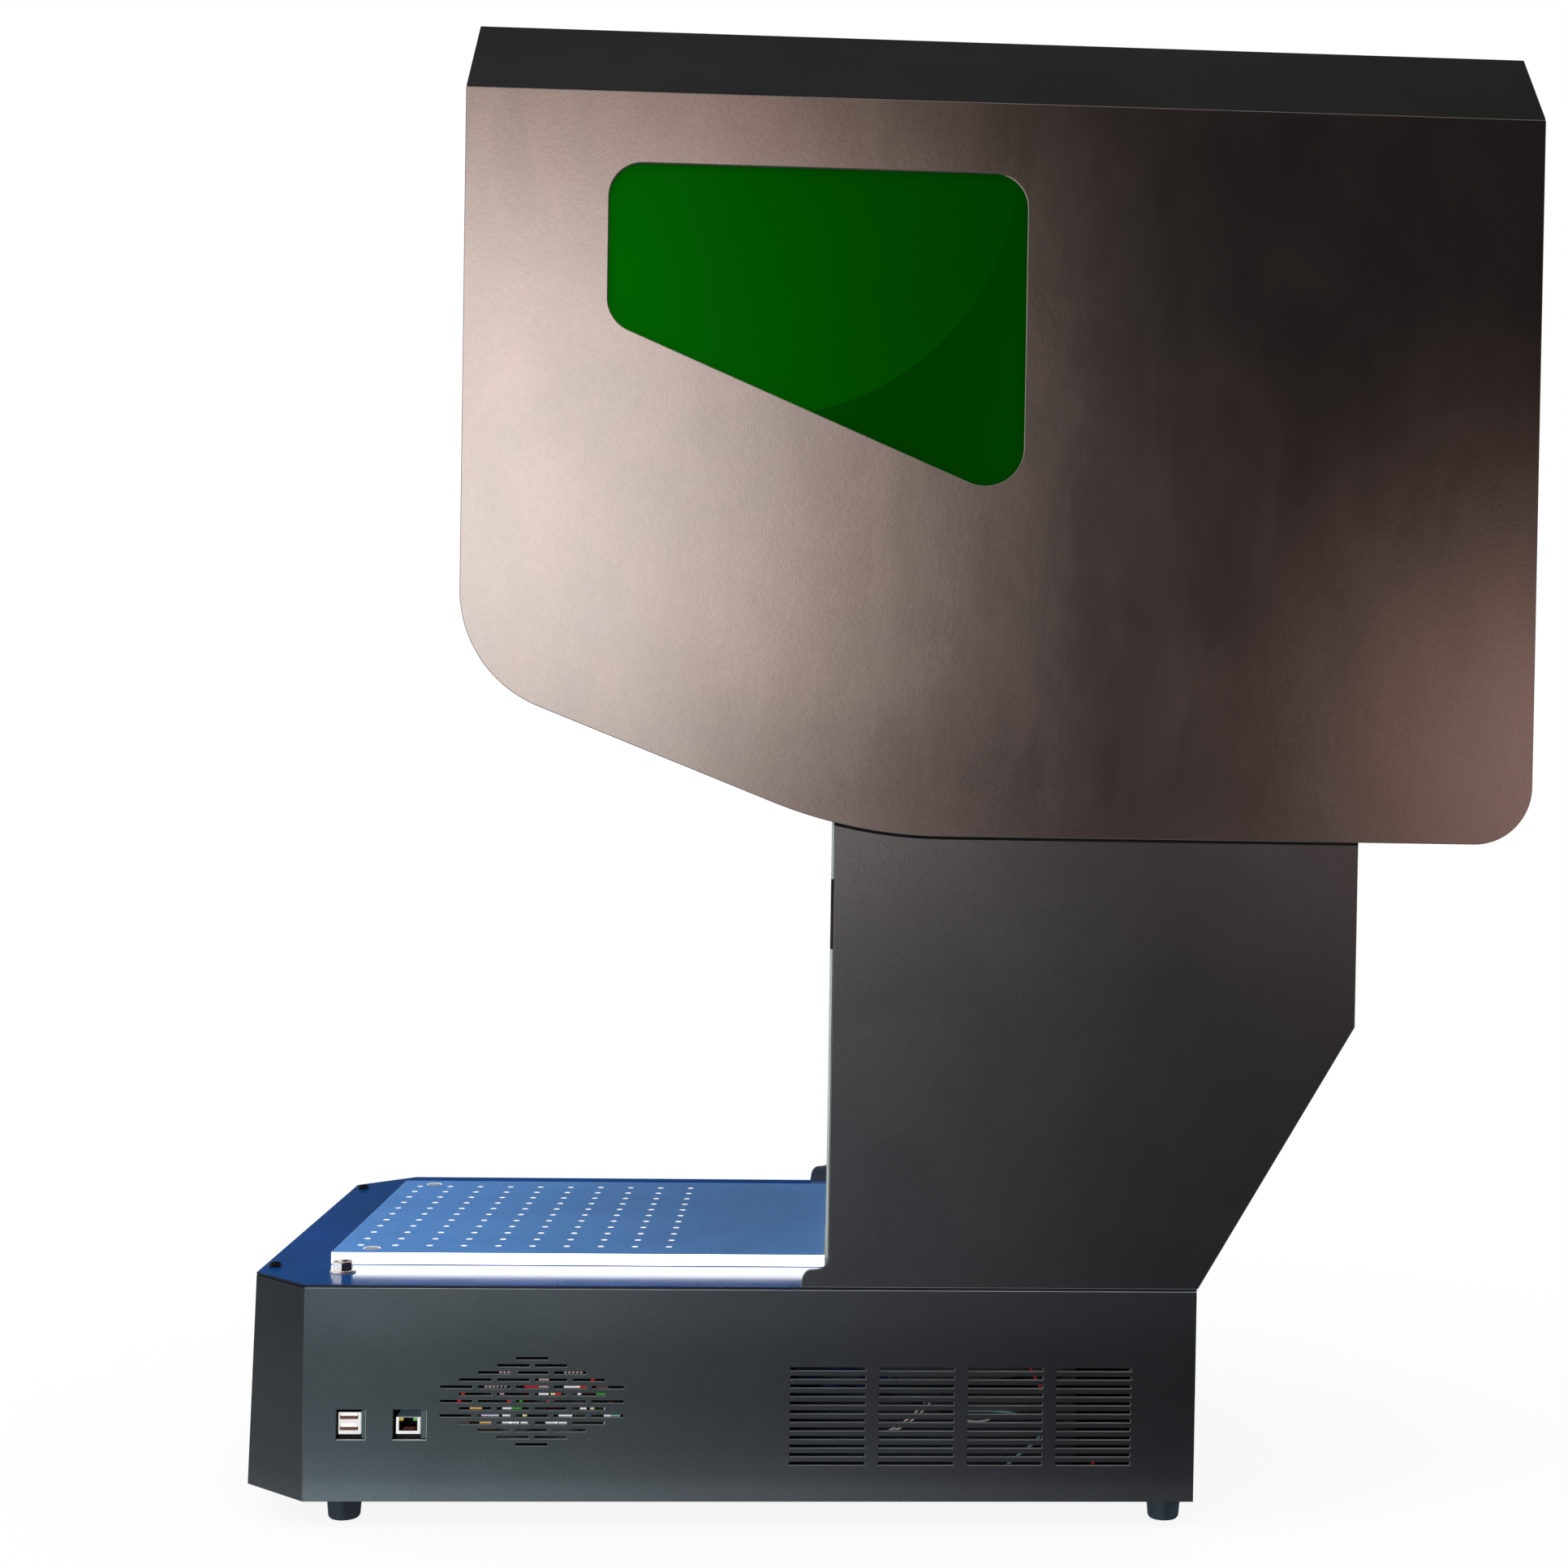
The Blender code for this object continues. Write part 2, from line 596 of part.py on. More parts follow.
# ---------------------------------------------------------------- front controls
def front_controls():
    turned("estop_housing",
           [(16.5, 6.0), (20.0, 4.0), (20.0, 0.6), (10.9, 0.6), (10.9, -30.0), (5.6, -30.0),
            (5.6, 6.0)],
           "yellow_plastic", (ESTOP_X, 0, 0), ring=True, steps=24, parent=controls)
    turned("estop_button",
           [(0, 24.0), (9.0, 23.2), (13.8, 20.5), (15.0, 17.0), (14.0, 11.5), (5.0, 11.5),
            (5.0, -24.0), (0, -24.0)],
           "red_plastic", (ESTOP_X, 0, 0), steps=24, parent=controls)
    turned("start_button",
           [(0, 4.2), (5.6, 4.2), (7.3, 3.2), (7.3, -2.9), (9.4, -2.9), (9.4, -6.0), (5.0, -6.0),
            (5.0, -14.0), (0, -14.0)],
           "green_plastic", (START_X, 0, 0), steps=20, parent=controls)


# ---------------------------------------------------------------- column
def column():
    outline = [(COLUMN_REAR, COLUMN_TOP), (COLUMN_FRONT, COLUMN_TOP), *TOE,
               (BASE_REAR + 0.6, ON_BASE), (COLUMN_REAR, COLUMN_KNEE)]
    for side, sign in SIDES:
        place(f"column_side_{side}",
              flat(outline, [], *side_range(sign, BASE_HALF, SHEET), "YZ"), "column_paint")

    half, inner = BASE_HALF, BASE_HALF - SHEET - GAP
    lower = [(-inner, ON_BASE), (inner, ON_BASE), (inner, FACE_STEP), (half, FACE_STEP),
             (half, GRILLE_Z0 - GAP), (-half, GRILLE_Z0 - GAP), (-half, FACE_STEP),
             (-inner, FACE_STEP)]
    upper = rect(-half, half, GRILLE_Z1 + GAP, COLUMN_TOP)
    slots = [rect(GRILLE_PITCH * i - GRILLE_SLOT_HALF, GRILLE_PITCH * i + GRILLE_SLOT_HALF,
                  GRILLE_Z0 + GRILLE_EDGE, GRILLE_Z1 - GRILLE_EDGE) for i in range(-11, 12)]
    grille = rect(-half, half, GRILLE_Z0, GRILLE_Z1)
    for name, face, holes, mat in (("column_front_lower", lower, [], "pale_face"),
                                   ("column_front_upper", upper, [], "pale_face"),
                                   ("fume_grille", grille, slots, "black_plastic")):
        place(name, flat(face, holes, -FACE_T, 0.0, "XZ"), mat)

    bends = ((BASE_REAR + 2.2, 124.0), (COLUMN_REAR, COLUMN_KNEE), (COLUMN_REAR, COLUMN_TOP))
    sheet("column_rear_panel", [[(-inner, y, z), (inner, y, z)] for y, z in bends], HOOD_SHEET,
          "column_paint")


# ---------------------------------------------------------------- lift drive inside the column
def lift_drive():
    axis = (0, SCREW_Y, 0)
    place("mast_plate", block(-80, 80, MAST_Y, MAST_Y + MAST_T, ON_BASE, 700), "aluminium")
    for side, sign in SIDES:
        x = sign * RAIL_X
        place(f"rail_{side}",
              block(x - RAIL_HALF, x + RAIL_HALF, RAIL_FRONT, MAST_Y - GAP, 300, 695), "steel")

    motor = place("lift_motor", block(-18, 18, SCREW_Y - 18, SCREW_Y + 18, ON_BASE, 176),
                  "black_plastic")
    cut(motor, "motor_bore", rod(3.6, 150, 180, 16), loc=axis)
    turned("shaft_coupling",
           [(0, 196.0), (5.6, 196.0), (5.6, 212.0), (11.0, 212.0), (11.0, 182.0), (2.5, 182.0),
            (2.5, 156.0), (0, 156.0)],
           "aluminium", axis, steps=16)
    for name, z0, z1 in (("screw_bearing_lower", 222, 240), ("screw_bearing_upper", 680, 696)):
        bearing = place(name, block(-20, 20, 109, MAST_Y - GAP, z0, z1), "steel")
        cut(bearing, name + "_bore", rod(5.8, z0 - 5, z1 + 5, 16), loc=axis)
    turned("ball_screw",
           [(0, 694.0), (5.0, 694.0), (5.0, 674.0), (8.0, 674.0), (8.0, 246.0), (5.0, 246.0),
            (5.0, 197.0), (0, 197.0)],
           "steel", axis, steps=16)


# ---------------------------------------------------------------- lifting head
def rail_block(side, x):
    """Block that rides on a rail, grooved in its rear face."""
    front, rear, half = CARRIAGE_REAR + GAP, 137, 17
    groove = RAIL_HALF + 2 * GAP
    groove_y = RAIL_FRONT - 2 * GAP
    outline = [(x - half, front), (x + half, front), (x + half, rear), (x + groove, rear),
               (x + groove, groove_y), (x - groove, groove_y), (x - groove, rear),
               (x - half, rear)]
    place(f"rail_block_{side}", flat(outline, [], 515, 625, "XY"), "steel")


def carriage():
    axis = (0, SCREW_Y, 0)
    plate = place("carriage_plate", block(-90, 90, CARRIAGE_FRONT, CARRIAGE_REAR, 505, 640),
                  "aluminium")
    fuse(plate, "nut_bracket", block(-20, 20, CARRIAGE_REAR - 1, 136, 560, 580))
    cut(plate, "nut_bracket_bore", rod(13.5, 550, 590, 24), loc=axis)
    turned("ball_nut", [(13.0, 592.0), (13.0, 548.0), (8.5, 548.0), (8.5, 592.0)], "steel", axis,
           steps=16, ring=True)
    for side, sign in SIDES:
        rail_block(side, sign * RAIL_X)
    rear = CARRIAGE_FRONT - GAP
    place("head_arm",
          flat([(rear, 510), (rear, 622), (-200, 622), (-200, ARM_UNDER), (10, ARM_UNDER),
                (78, 530), (78, 510)], [], -60, 60, "YZ"), "aluminium")


def scan_head():
    top = GALVO_BOTTOM - GAP  # upper face of the lens barrel
    galvo = place("galvo_housing",
                  block(-62, 62, LENS_Y - 55, GALVO_REAR, GALVO_BOTTOM, ARM_UNDER - GAP),
                  "black_plastic")
    cut(galvo, "galvo_cavity", block(-50, 50, LENS_Y - 44, LENS_Y + 44, 495, 590))
    cut(galvo, "galvo_beam_hole", forward_rod(8, -20, 20, 16), loc=(BEAM_X, GALVO_REAR, BEAM_Z))
    turned("lens_barrel",
           [(45.0, top), (45.0, 492.0), (38.0, 490.0), (38.0, 463.0), (36.0, 462.0),
            (27.0, 462.0), (27.0, 465.5), (30.2, 465.5), (30.2, top)],
           "black_plastic", (0, LENS_Y, 0), ring=True, steps=20)
    turned("lens_glass", [(0, 480.0), (16.0, 478.6), (29.6, 473.0), (29.6, 467.0), (0, 466.0)],
           "lens_glass", (0, LENS_Y, 0), steps=24)
    turned("beam_collimator",
           [(0, 76.0), (6.0, 76.0), (6.0, 62.0), (15.0, 60.0), (15.0, 4.0), (19.0, 4.0),
            (19.0, 0.0), (0, 0.0)],
           "aluminium", (BEAM_X, GALVO_REAR + GAP, BEAM_Z), steps=24, rot=(-math.pi / 2, 0, 0))


def scan_mirrors():
    """Mirrors on their spindles, each with its origin on its own axis."""
    upright = dict(loc=(BEAM_X, LENS_Y, BEAM_Z), rot=(0, 0, math.radians(45)))
    mirror_x = place("galvo_mirror_x", block(-7.5, 7.5, -1.2, 1.2, -8, 8), "mirror", **upright)
    fuse(mirror_x, "mirror_x_spindle", rod(3, 7, 37, 12), mat="steel", **upright)
    centre = (0, LENS_Y, BEAM_Z)
    mirror_y = place("galvo_mirror_y", block(-8.0, 8.0, -12, 12, -1.2, 1.2), "mirror", centre,
                     (0, math.radians(-45), 0))
    fuse(mirror_y, "mirror_y_spindle", forward_rod(3, 11, 42, 12), mat="steel", loc=centre)


# ---------------------------------------------------------------- hood
def hood_sides():
    outline = rounded(
        [(HOOD_FRONT, HOOD_SHOULDER), (HOOD_FRONT, SLOPE_FRONT_Z), (SLOPE_END_Y, HOOD_BOTTOM),
         (HOOD_REAR, HOOD_BOTTOM), (HOOD_REAR, HOOD_SHOULDER)],
        [0, NOSE_R, BELLY_R, HEEL_R, 0], ARC_SEGMENTS)
    opening = rounded(WINDOW, [19, 19, 22, 19], 6)
    pane = rounded(inset(WINDOW, -WINDOW_LAP), [26, 26, 30, 26], 6)
    for side, sign in SIDES:
        place(f"hood_side_{side}",
              flat(outline, [opening], *side_range(sign, HOOD_HALF, HOOD_SIDE_T), "YZ"),
              "hood_paint")
        place(f"window_{side}", flat(pane, [], *side_range(sign, HOOD_INNER, WINDOW_T), "YZ"),
              "green_window")


def cover_outline(t):
    """Cross-section of the top cover, moved inwards by t on the top and the two bevels."""
    foot = HOOD_HALF - COVER_FOOT_SHIFT * t
    crest = HOOD_HALF - HOOD_BEVEL - COVER_CREST_SHIFT * t
    bottom, top = HOOD_SHOULDER + GAP, HOOD_TOP - t
    return [(-foot, bottom), (foot, bottom), (crest, top), (-crest, top)]


def hood_top():
    cover = place("hood_top", flat(cover_outline(0), [], HOOD_FRONT, HOOD_REAR, "XZ"), "top_paint")
    hollow = flat(cover_outline(HOOD_SHEET), [], HOOD_FRONT + HOOD_SHEET, HOOD_REAR - HOOD_SHEET,
                  "XZ")
    # the hollow reaches below the cover so that the underside is open
    for v in hollow.vertices:
        if v.co.z < (HOOD_SHOULDER + 1) * MM:
            v.co.z -= 4 * MM
    cut(cover, "hood_top_hollow", hollow)


def hood_front_panel():
    """Follows the outline of the sides from the shoulder to just in front of the column."""
    line = rounded(
        [(HOOD_FRONT, HOOD_SHOULDER), (HOOD_FRONT, SLOPE_FRONT_Z), (SLOPE_END_Y, HOOD_BOTTOM),
         (100.0, HOOD_BOTTOM)], [0, NOSE_R, BELLY_R, 0], ARC_SEGMENTS)
    last = next(i for i, (y, _) in enumerate(line) if y > NOSE_END)
    (y0, z0), (y1, z1) = line[last - 1:last + 1]
    end_z = z0 + (z1 - z0) * (NOSE_END - y0) / (y1 - y0)
    nose = line[:last] + [(NOSE_END, end_z)]
    panel = place("hood_front_panel",
                  flat(strip(nose, HOOD_SHEET), [], -HOOD_INNER, HOOD_INNER, "YZ"), "hood_paint")
    cut(panel, "lens_opening", rod(52, 380, 495, 32), loc=(0, LENS_Y, 0))


def hood_rear_panel():
    line = rounded([(300.0, HOOD_BOTTOM), (HOOD_REAR, HOOD_BOTTOM), (HOOD_REAR, HOOD_SHOULDER)],
                   [0, HEEL_R, 0], ARC_SEGMENTS)
    panel = place("hood_rear_panel",
                  flat(strip(line, HOOD_SHEET), [], -HOOD_INNER, HOOD_INNER, "YZ"), "hood_paint")
    for j in range(REAR_SLOTS):
        z = REAR_SLOT_Z + REAR_SLOT_PITCH * j
        cut(panel, f"rear_slot_{j}",
            block(-60, 60, HOOD_REAR - 5, HOOD_REAR + 5, z, z + REAR_SLOT_H))


# ---------------------------------------------------------------- build
for old_object in list(bpy.data.objects):
    bpy.data.objects.remove(old_object, do_unlink=True)

pieces = new_collection("desktop_laser_cutter")
cutters = new_collection("cutters")
materials = {name: material(name, **look) for name, look in MATERIALS.items()}
datum = empty("datum", DATUM)
# the controls stand square to the leaning front face; local z points out of it
controls = empty("front_controls",
                 (0, BASE_FRONT - BASE_LEAN * (1 - CONTROL_Z / BASE_H), CONTROL_Z),
                 (math.pi / 2 - math.atan2(BASE_LEAN, BASE_H), 0, 0), datum)

base_box()
feet()
work_plate()
top_hardware()
electronics()
fan_frame()
fan_rotor()
power_inlet()
power_rocker()
front_controls()
column()
lift_drive()
carriage()
scan_head()
scan_mirrors()
place("laser_source", block(-115, 115, 306, 386, 420, 700), "aluminium")
hood_sides()
hood_top()
hood_front_panel()
hood_rear_panel()
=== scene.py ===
"""Looks of the desktop laser cutter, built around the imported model.

Lengths in the small parts are in millimetres and are turned into metres by MM.
"""

import json
import math
import random

import bmesh
import bpy
from mathutils import Matrix, Vector


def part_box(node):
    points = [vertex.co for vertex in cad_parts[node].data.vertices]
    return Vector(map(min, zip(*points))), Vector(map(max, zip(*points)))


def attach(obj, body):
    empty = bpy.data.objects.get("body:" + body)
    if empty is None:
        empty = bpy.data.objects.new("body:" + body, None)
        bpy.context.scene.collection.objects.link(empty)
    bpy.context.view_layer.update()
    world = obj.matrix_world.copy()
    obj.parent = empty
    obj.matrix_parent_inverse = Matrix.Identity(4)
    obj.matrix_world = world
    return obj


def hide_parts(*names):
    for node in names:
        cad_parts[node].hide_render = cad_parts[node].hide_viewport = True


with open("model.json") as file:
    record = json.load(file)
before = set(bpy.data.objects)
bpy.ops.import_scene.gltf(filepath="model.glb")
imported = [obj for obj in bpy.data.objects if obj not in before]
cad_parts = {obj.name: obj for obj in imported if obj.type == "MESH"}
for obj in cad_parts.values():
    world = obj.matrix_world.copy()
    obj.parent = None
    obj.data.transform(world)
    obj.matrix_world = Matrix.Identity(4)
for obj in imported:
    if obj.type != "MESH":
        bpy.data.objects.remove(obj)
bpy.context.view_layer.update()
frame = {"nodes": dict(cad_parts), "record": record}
MM = 0.001
BODY = {n: b for b, ns in frame["record"]["behaviour"]["bodies"].items() for n in ns}
random.seed(7)


# =============================================================== node trees
class Tree:
    """Small wrapper that adds shader nodes and links them."""

    def __init__(self, nt):
        self.nt = nt
        nt.nodes.clear()

    def put(self, sock, v):
        if isinstance(v, bpy.types.NodeSocket):
            self.nt.links.new(v, sock)
        elif v is not None:
            if sock.type in ("RGBA", "VECTOR") and not hasattr(v, "__len__"):
                v = (v,) * (4 if sock.type == "RGBA" else 3)
            if sock.type == "RGBA" and len(v) == 3:
                v = (*v, 1.0)
            sock.default_value = v

    def node(self, kind, props=None, ins=None, out=0):
        n = self.nt.nodes.new(kind)
        for k, v in (props or {}).items():
            setattr(n, k, v)
        for k, v in (ins or {}).items():
            self.put(n.inputs[k], v)
        return n.outputs[out] if out is not None else n

    def m(self, op, a, b=None, c=None, clamp=False):
        return self.node("ShaderNodeMath", {"operation": op, "use_clamp": clamp},
                         {i: v for i, v in enumerate((a, b, c)) if v is not None})

    def mix(self, fac, a, b, blend="MIX"):
        return self.node("ShaderNodeMix", {"data_type": "RGBA", "blend_type": blend, "clamp_factor": True},
                         {0: fac, 6: a, 7: b}, 2)

    def remap(self, v, a, b, c, d, smooth=True):
        return self.node("ShaderNodeMapRange", {"interpolation_type": "SMOOTHSTEP" if smooth else "LINEAR"},
                         {0: v, 1: a, 2: b, 3: c, 4: d})

    def noise(self, vec, scale, detail=3.0, rough=0.5, distort=0.0):
        return self.node("ShaderNodeTexNoise", None,
                         {"Vector": vec, "Scale": scale, "Detail": detail, "Roughness": rough,
                          "Distortion": distort}, 0)

    def ramp(self, v, stops, interp="LINEAR"):
        n = self.node("ShaderNodeValToRGB", None, {0: v}, None)
        cr = n.color_ramp
        cr.interpolation = interp
        while len(cr.elements) < len(stops):
            cr.elements.new(0.5)
        for e, (p, c) in zip(cr.elements, stops):
            e.position = p
            c = c if hasattr(c, "__len__") else (c, c, c)
            e.color = (*c, 1.0)
        return n.outputs[0]

    def coords(self):
        return self.node("ShaderNodeTexCoord", None, None, 3)

    def mapped(self, vec, scale=(1, 1, 1), loc=(0, 0, 0), rot=(0, 0, 0)):
        return self.node("ShaderNodeMapping", None, {"Vector": vec, "Scale": scale, "Location": loc, "Rotation": rot})

    def scaled(self, colour, f):
        """colour times a scalar socket."""
        n = self.node("ShaderNodeVectorMath", {"operation": "SCALE"}, None, None)
        self.put(n.inputs[0], colour if isinstance(colour, bpy.types.NodeSocket) else colour[:3])
        self.put(n.inputs["Scale"], f)
        return n.outputs[0]

    def surface(self, shader):
        o = self.node("ShaderNodeOutputMaterial", None, None, None)
        self.nt.links.new(shader, o.inputs["Surface"])


MATS = {}


def principled(t, colour, rough, metal=0.0, spec=0.5, bump=None, coat=0.0, coat_rough=0.1, extra=None):
    n = t.node("ShaderNodeBsdfPrincipled", None,
               {"Base Color": colour, "Roughness": rough, "Metallic": metal, "Specular IOR Level": spec,
                "Coat Weight": coat, "Coat Roughness": coat_rough}, None)
    if bump is not None:
        t.put(n.inputs["Normal"], bump)
    for k, v in (extra or {}).items():
        t.put(n.inputs[k], v)
    return n.outputs[0]


def new_mat(name):
    m = bpy.data.materials.new(name)
    m.use_nodes = True
    MATS[name] = m
    return m, Tree(m.node_tree)


def finish_mat(name, colour, rough, metal=0.0, spec=0.5, clouds=(12, 0.08), grain=(900, 0.05), bump=(700, 0.04),
               rvar=0.06, brushed=None, coat=0.0, coat_rough=0.12, tint=None, extra=None, shade=None):
    """A procedural finish: slow clouds, fine grain, roughness variation, micro bump and an optional brushing direction.
    tint is a second colour that the clouds lead to. shade, if given, scales the colour by painted light and shade."""
    m, t = new_mat(name)
    p = t.coords()
    big = t.noise(p, clouds[0], 5, 0.62, 0.4)
    fine = t.noise(p, grain[0], 2, 0.6)
    f = t.m("MULTIPLY", t.remap(big, 0.3, 0.7, 1 - clouds[1], 1 + clouds[1]),
            t.remap(fine, 0.3, 0.7, 1 - grain[1], 1 + grain[1], False))
    base = t.mix(t.remap(big, 0.35, 0.68, 0, 1), colour, tint) if tint else colour
    if brushed:
        b = t.noise(t.mapped(p, brushed), 1.0, 4, 0.7)
        f = t.m("MULTIPLY", f, t.remap(b, 0.3, 0.7, 0.9, 1.1))
        height = t.m("ADD", t.m("MULTIPLY", b, 0.7), t.m("MULTIPLY", fine, 0.3))
    else:
        height = t.noise(p, bump[0], 2, 0.5)
    if shade:
        f = t.m("MULTIPLY", f, shade(t, p))
    col = t.scaled(base, f)
    r = t.m("ADD", rough, t.m("MULTIPLY", t.m("SUBTRACT", t.noise(p, clouds[0] * 4.3, 4, 0.6), 0.5), 2 * rvar),
            clamp=True)
    bn = t.node("ShaderNodeBump", None, {"Strength": bump[1] * 10 if bump[1] < 0.1 else 1.0, "Distance": 0.00006,
                                         "Height": height})
    t.surface(principled(t, col, r, metal, spec, bn, coat, coat_rough, extra))
    return m


# satin lacquer with metal flakes: slow smudges as left by cloths and hands, fine grain, micro bump, and painted shade
# towards the lower edge
def hood_material(name, colour, rough):
    m, t = new_mat(name)
    p = t.coords()
    smudge = t.noise(p, 7.5, 6, 0.62, 0.8)
    streak = t.noise(t.mapped(p, (1, 3.2, 1.1), rot=(0.5, 0, 0)), 9, 5, 0.65, 0.5)
    fine = t.noise(p, 420, 3, 0.7)
    flake = t.noise(p, 1500, 1, 0.5)
    f = t.m("MULTIPLY", t.remap(smudge, 0.33, 0.68, 0.95, 1.05), t.remap(streak, 0.35, 0.66, 0.965, 1.035))
    f = t.m("MULTIPLY", f, t.remap(fine, 0.3, 0.7, 0.96, 1.04, False))
    f = t.m("MULTIPLY", f, t.remap(flake, 0.3, 0.7, 0.96, 1.05, False))
    # painted shade: the colour darkens towards the hood's lower edge, most along the middle of its length
    xyz = t.node("ShaderNodeSeparateXYZ", None, {0: p}, None)
    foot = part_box("hood_side_right")[0].z
    deep = t.ramp(t.remap(xyz.outputs[2], foot, foot + 0.11, 0, 1, False),
                  [(0.0, 0.40), (0.14, 0.35), (0.38, 0.22), (0.66, 0.10), (1.0, 0.0)])
    where = t.ramp(t.remap(xyz.outputs[1], -0.11, 0.37, 0, 1, False),
                   [(0.0, 0.3), (0.24, 0.95), (0.46, 1.05), (0.62, 0.85), (0.85, 0.6), (1.0, 0.35)])
    f = t.m("MULTIPLY", f, t.m("SUBTRACT", 1.0, t.m("MULTIPLY", deep, where)))
    warm = t.mix(t.remap(smudge, 0.3, 0.7, 0, 1), colour, (colour[0] * 1.02, colour[1] * 0.97, colour[2] * 0.95))
    r = t.m("ADD", rough, t.m("MULTIPLY", t.m("SUBTRACT", streak, 0.5), 0.05))
    r = t.m("ADD", r, t.m("MULTIPLY", t.m("SUBTRACT", smudge, 0.5), 0.04))
    h = t.m("ADD", t.m("MULTIPLY", fine, 0.6), t.m("MULTIPLY", flake, 0.4))
    bn = t.node("ShaderNodeBump", None, {"Strength": 0.28, "Distance": 0.00008, "Height": h})
    t.surface(principled(t, t.scaled(warm, f), r, 1.0, 0.5, bn))
    return m


hood_material("hood_paint", (0.72, 0.61, 0.565), 0.145)
# lit and shaded copies of the hood's edge colour: the lighter one is a painted highlight on edges facing up or to the
# front, the darker one painted shade on the rest
finish_mat("hood_edge", (0.62, 0.50, 0.44), 0.35, 0.55, clouds=(20, 0.12))
finish_mat("hood_edge_painted_shade", (0.10, 0.085, 0.08), 0.4, 0.3, clouds=(20, 0.12))
finish_mat("top_paint", (0.0100, 0.0094, 0.0102), 0.42, 0.0, 0.45, clouds=(10, 0.1), grain=(1100, 0.12),
           bump=(900, 0.05), rvar=0.08)
finish_mat("top_edge", (0.03, 0.03, 0.033), 0.35, 0.0, 0.6)


def column_shade(t, p):
    """Painted light and shade: lighter towards the top of the column, darker towards its rear low down."""
    xyz = t.node("ShaderNodeSeparateXYZ", None, {0: p}, None)
    y, z = xyz.outputs[1], xyz.outputs[2]
    top = t.ramp(t.remap(z, 0.30, 0.39, 0, 1, False),
                 [(0.0, 0.49), (0.24, 0.505), (0.48, 0.555), (0.68, 0.63), (0.82, 0.68), (1.0, 0.76)])
    rear = t.m("MULTIPLY", t.remap(y, 0.05, 0.25, 0.0, 0.13), t.remap(z, 0.34, 0.28, 0.0, 1.0))
    return t.m("MULTIPLY", t.m("MULTIPLY", top, 2.0), t.m("SUBTRACT", 1.0, rear))


finish_mat("column_paint", (0.225, 0.22, 0.222), 0.18, 1.0, clouds=(11, 0.06), grain=(900, 0.08), bump=(800, 0.03),
           rvar=0.025, shade=column_shade)
# near-black for the strip that stands in for the shadow under the hood's edge
finish_mat("seal_black", (0.006, 0.006, 0.007), 0.6, 0.0, 0.15, clouds=(60, 0.2))
finish_mat("column_edge", (0.22, 0.22, 0.23), 0.4, 0.5, clouds=(25, 0.1))


def height_shade(stops):
    """Painted light by height on the base: the colour is scaled by a ramp over the base's height; paler low down as a
    painted reflection of the bench.
    """
    def shade(t, p):
        z = t.node("ShaderNodeSeparateXYZ", None, {0: p}, 2)
        lo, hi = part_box("base_side_right")
        return t.m("MULTIPLY", t.ramp(t.remap(z, lo.z, hi.z, 0, 1, False), stops), 2.0)
    return shade


# painted light on the base sides, and on the corner sheet, which faces another way and so gets its own ramp
base_shade = height_shade([(0.0, 0.86), (0.06, 0.78), (0.12, 0.58), (0.25, 0.45), (0.5, 0.37), (0.7, 0.39), (0.88, 0.49),
                           (1.0, 0.52)])
corner_shade = height_shade([(0.0, 0.86), (0.12, 0.66), (0.25, 0.60), (0.5, 0.60), (0.7, 0.54), (0.88, 0.48), (1.0, 0.50)])


finish_mat("base_paint", (0.215, 0.22, 0.226), 0.18, 1.0, clouds=(8, 0.07), grain=(900, 0.08), bump=(800, 0.03),
           rvar=0.025, shade=base_shade)
# the corner sheet's paint: a copy of the base paint with its own painted light
finish_mat("corner_paint", (0.228, 0.216, 0.228), 0.18, 1.0, clouds=(8, 0.07), grain=(900, 0.08), bump=(800, 0.03),
           rvar=0.025, shade=corner_shade)
finish_mat("base_edge", (0.36, 0.37, 0.38), 0.4, 0.4, clouds=(30, 0.15))
# lit and shaded copies of the base's edge colour: a painted highlight on edges facing up or to the front, a dimmer
# painted light on those inside the slots, painted shade on the rest
finish_mat("base_edge_painted_highlight", (0.55, 0.56, 0.55), 0.42, 0.1, clouds=(30, 0.15))
finish_mat("slot_edge_painted_light", (0.19, 0.20, 0.205), 0.42, 0.1, clouds=(30, 0.15))
finish_mat("base_edge_painted_shade", (0.012, 0.014, 0.017), 0.45, 0.0, 0.3, clouds=(30, 0.15))
finish_mat("blue_top", (0.004, 0.082, 0.32), 0.15, 0.0, 1.0, clouds=(9, 0.12), grain=(800, 0.05), bump=(500, 0.004),
           rvar=0.03, tint=(0.005, 0.080, 0.36))
finish_mat("blue_edge", (0.006, 0.010, 0.022), 0.4, 0.0)
def plate_shade(t, p):
    """Lighter at the front end, where the plate faces the light."""
    y = t.node("ShaderNodeSeparateXYZ", None, {0: p}, 1)
    lo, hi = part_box("work_plate")
    return t.m("MULTIPLY", t.ramp(t.remap(y, lo.y, hi.y, 0, 1, False),
                                  [(0.0, 0.62), (0.15, 0.60), (0.45, 0.49), (0.68, 0.44), (0.82, 0.405), (0.93, 0.43), (1.0, 0.47)]), 2.0)


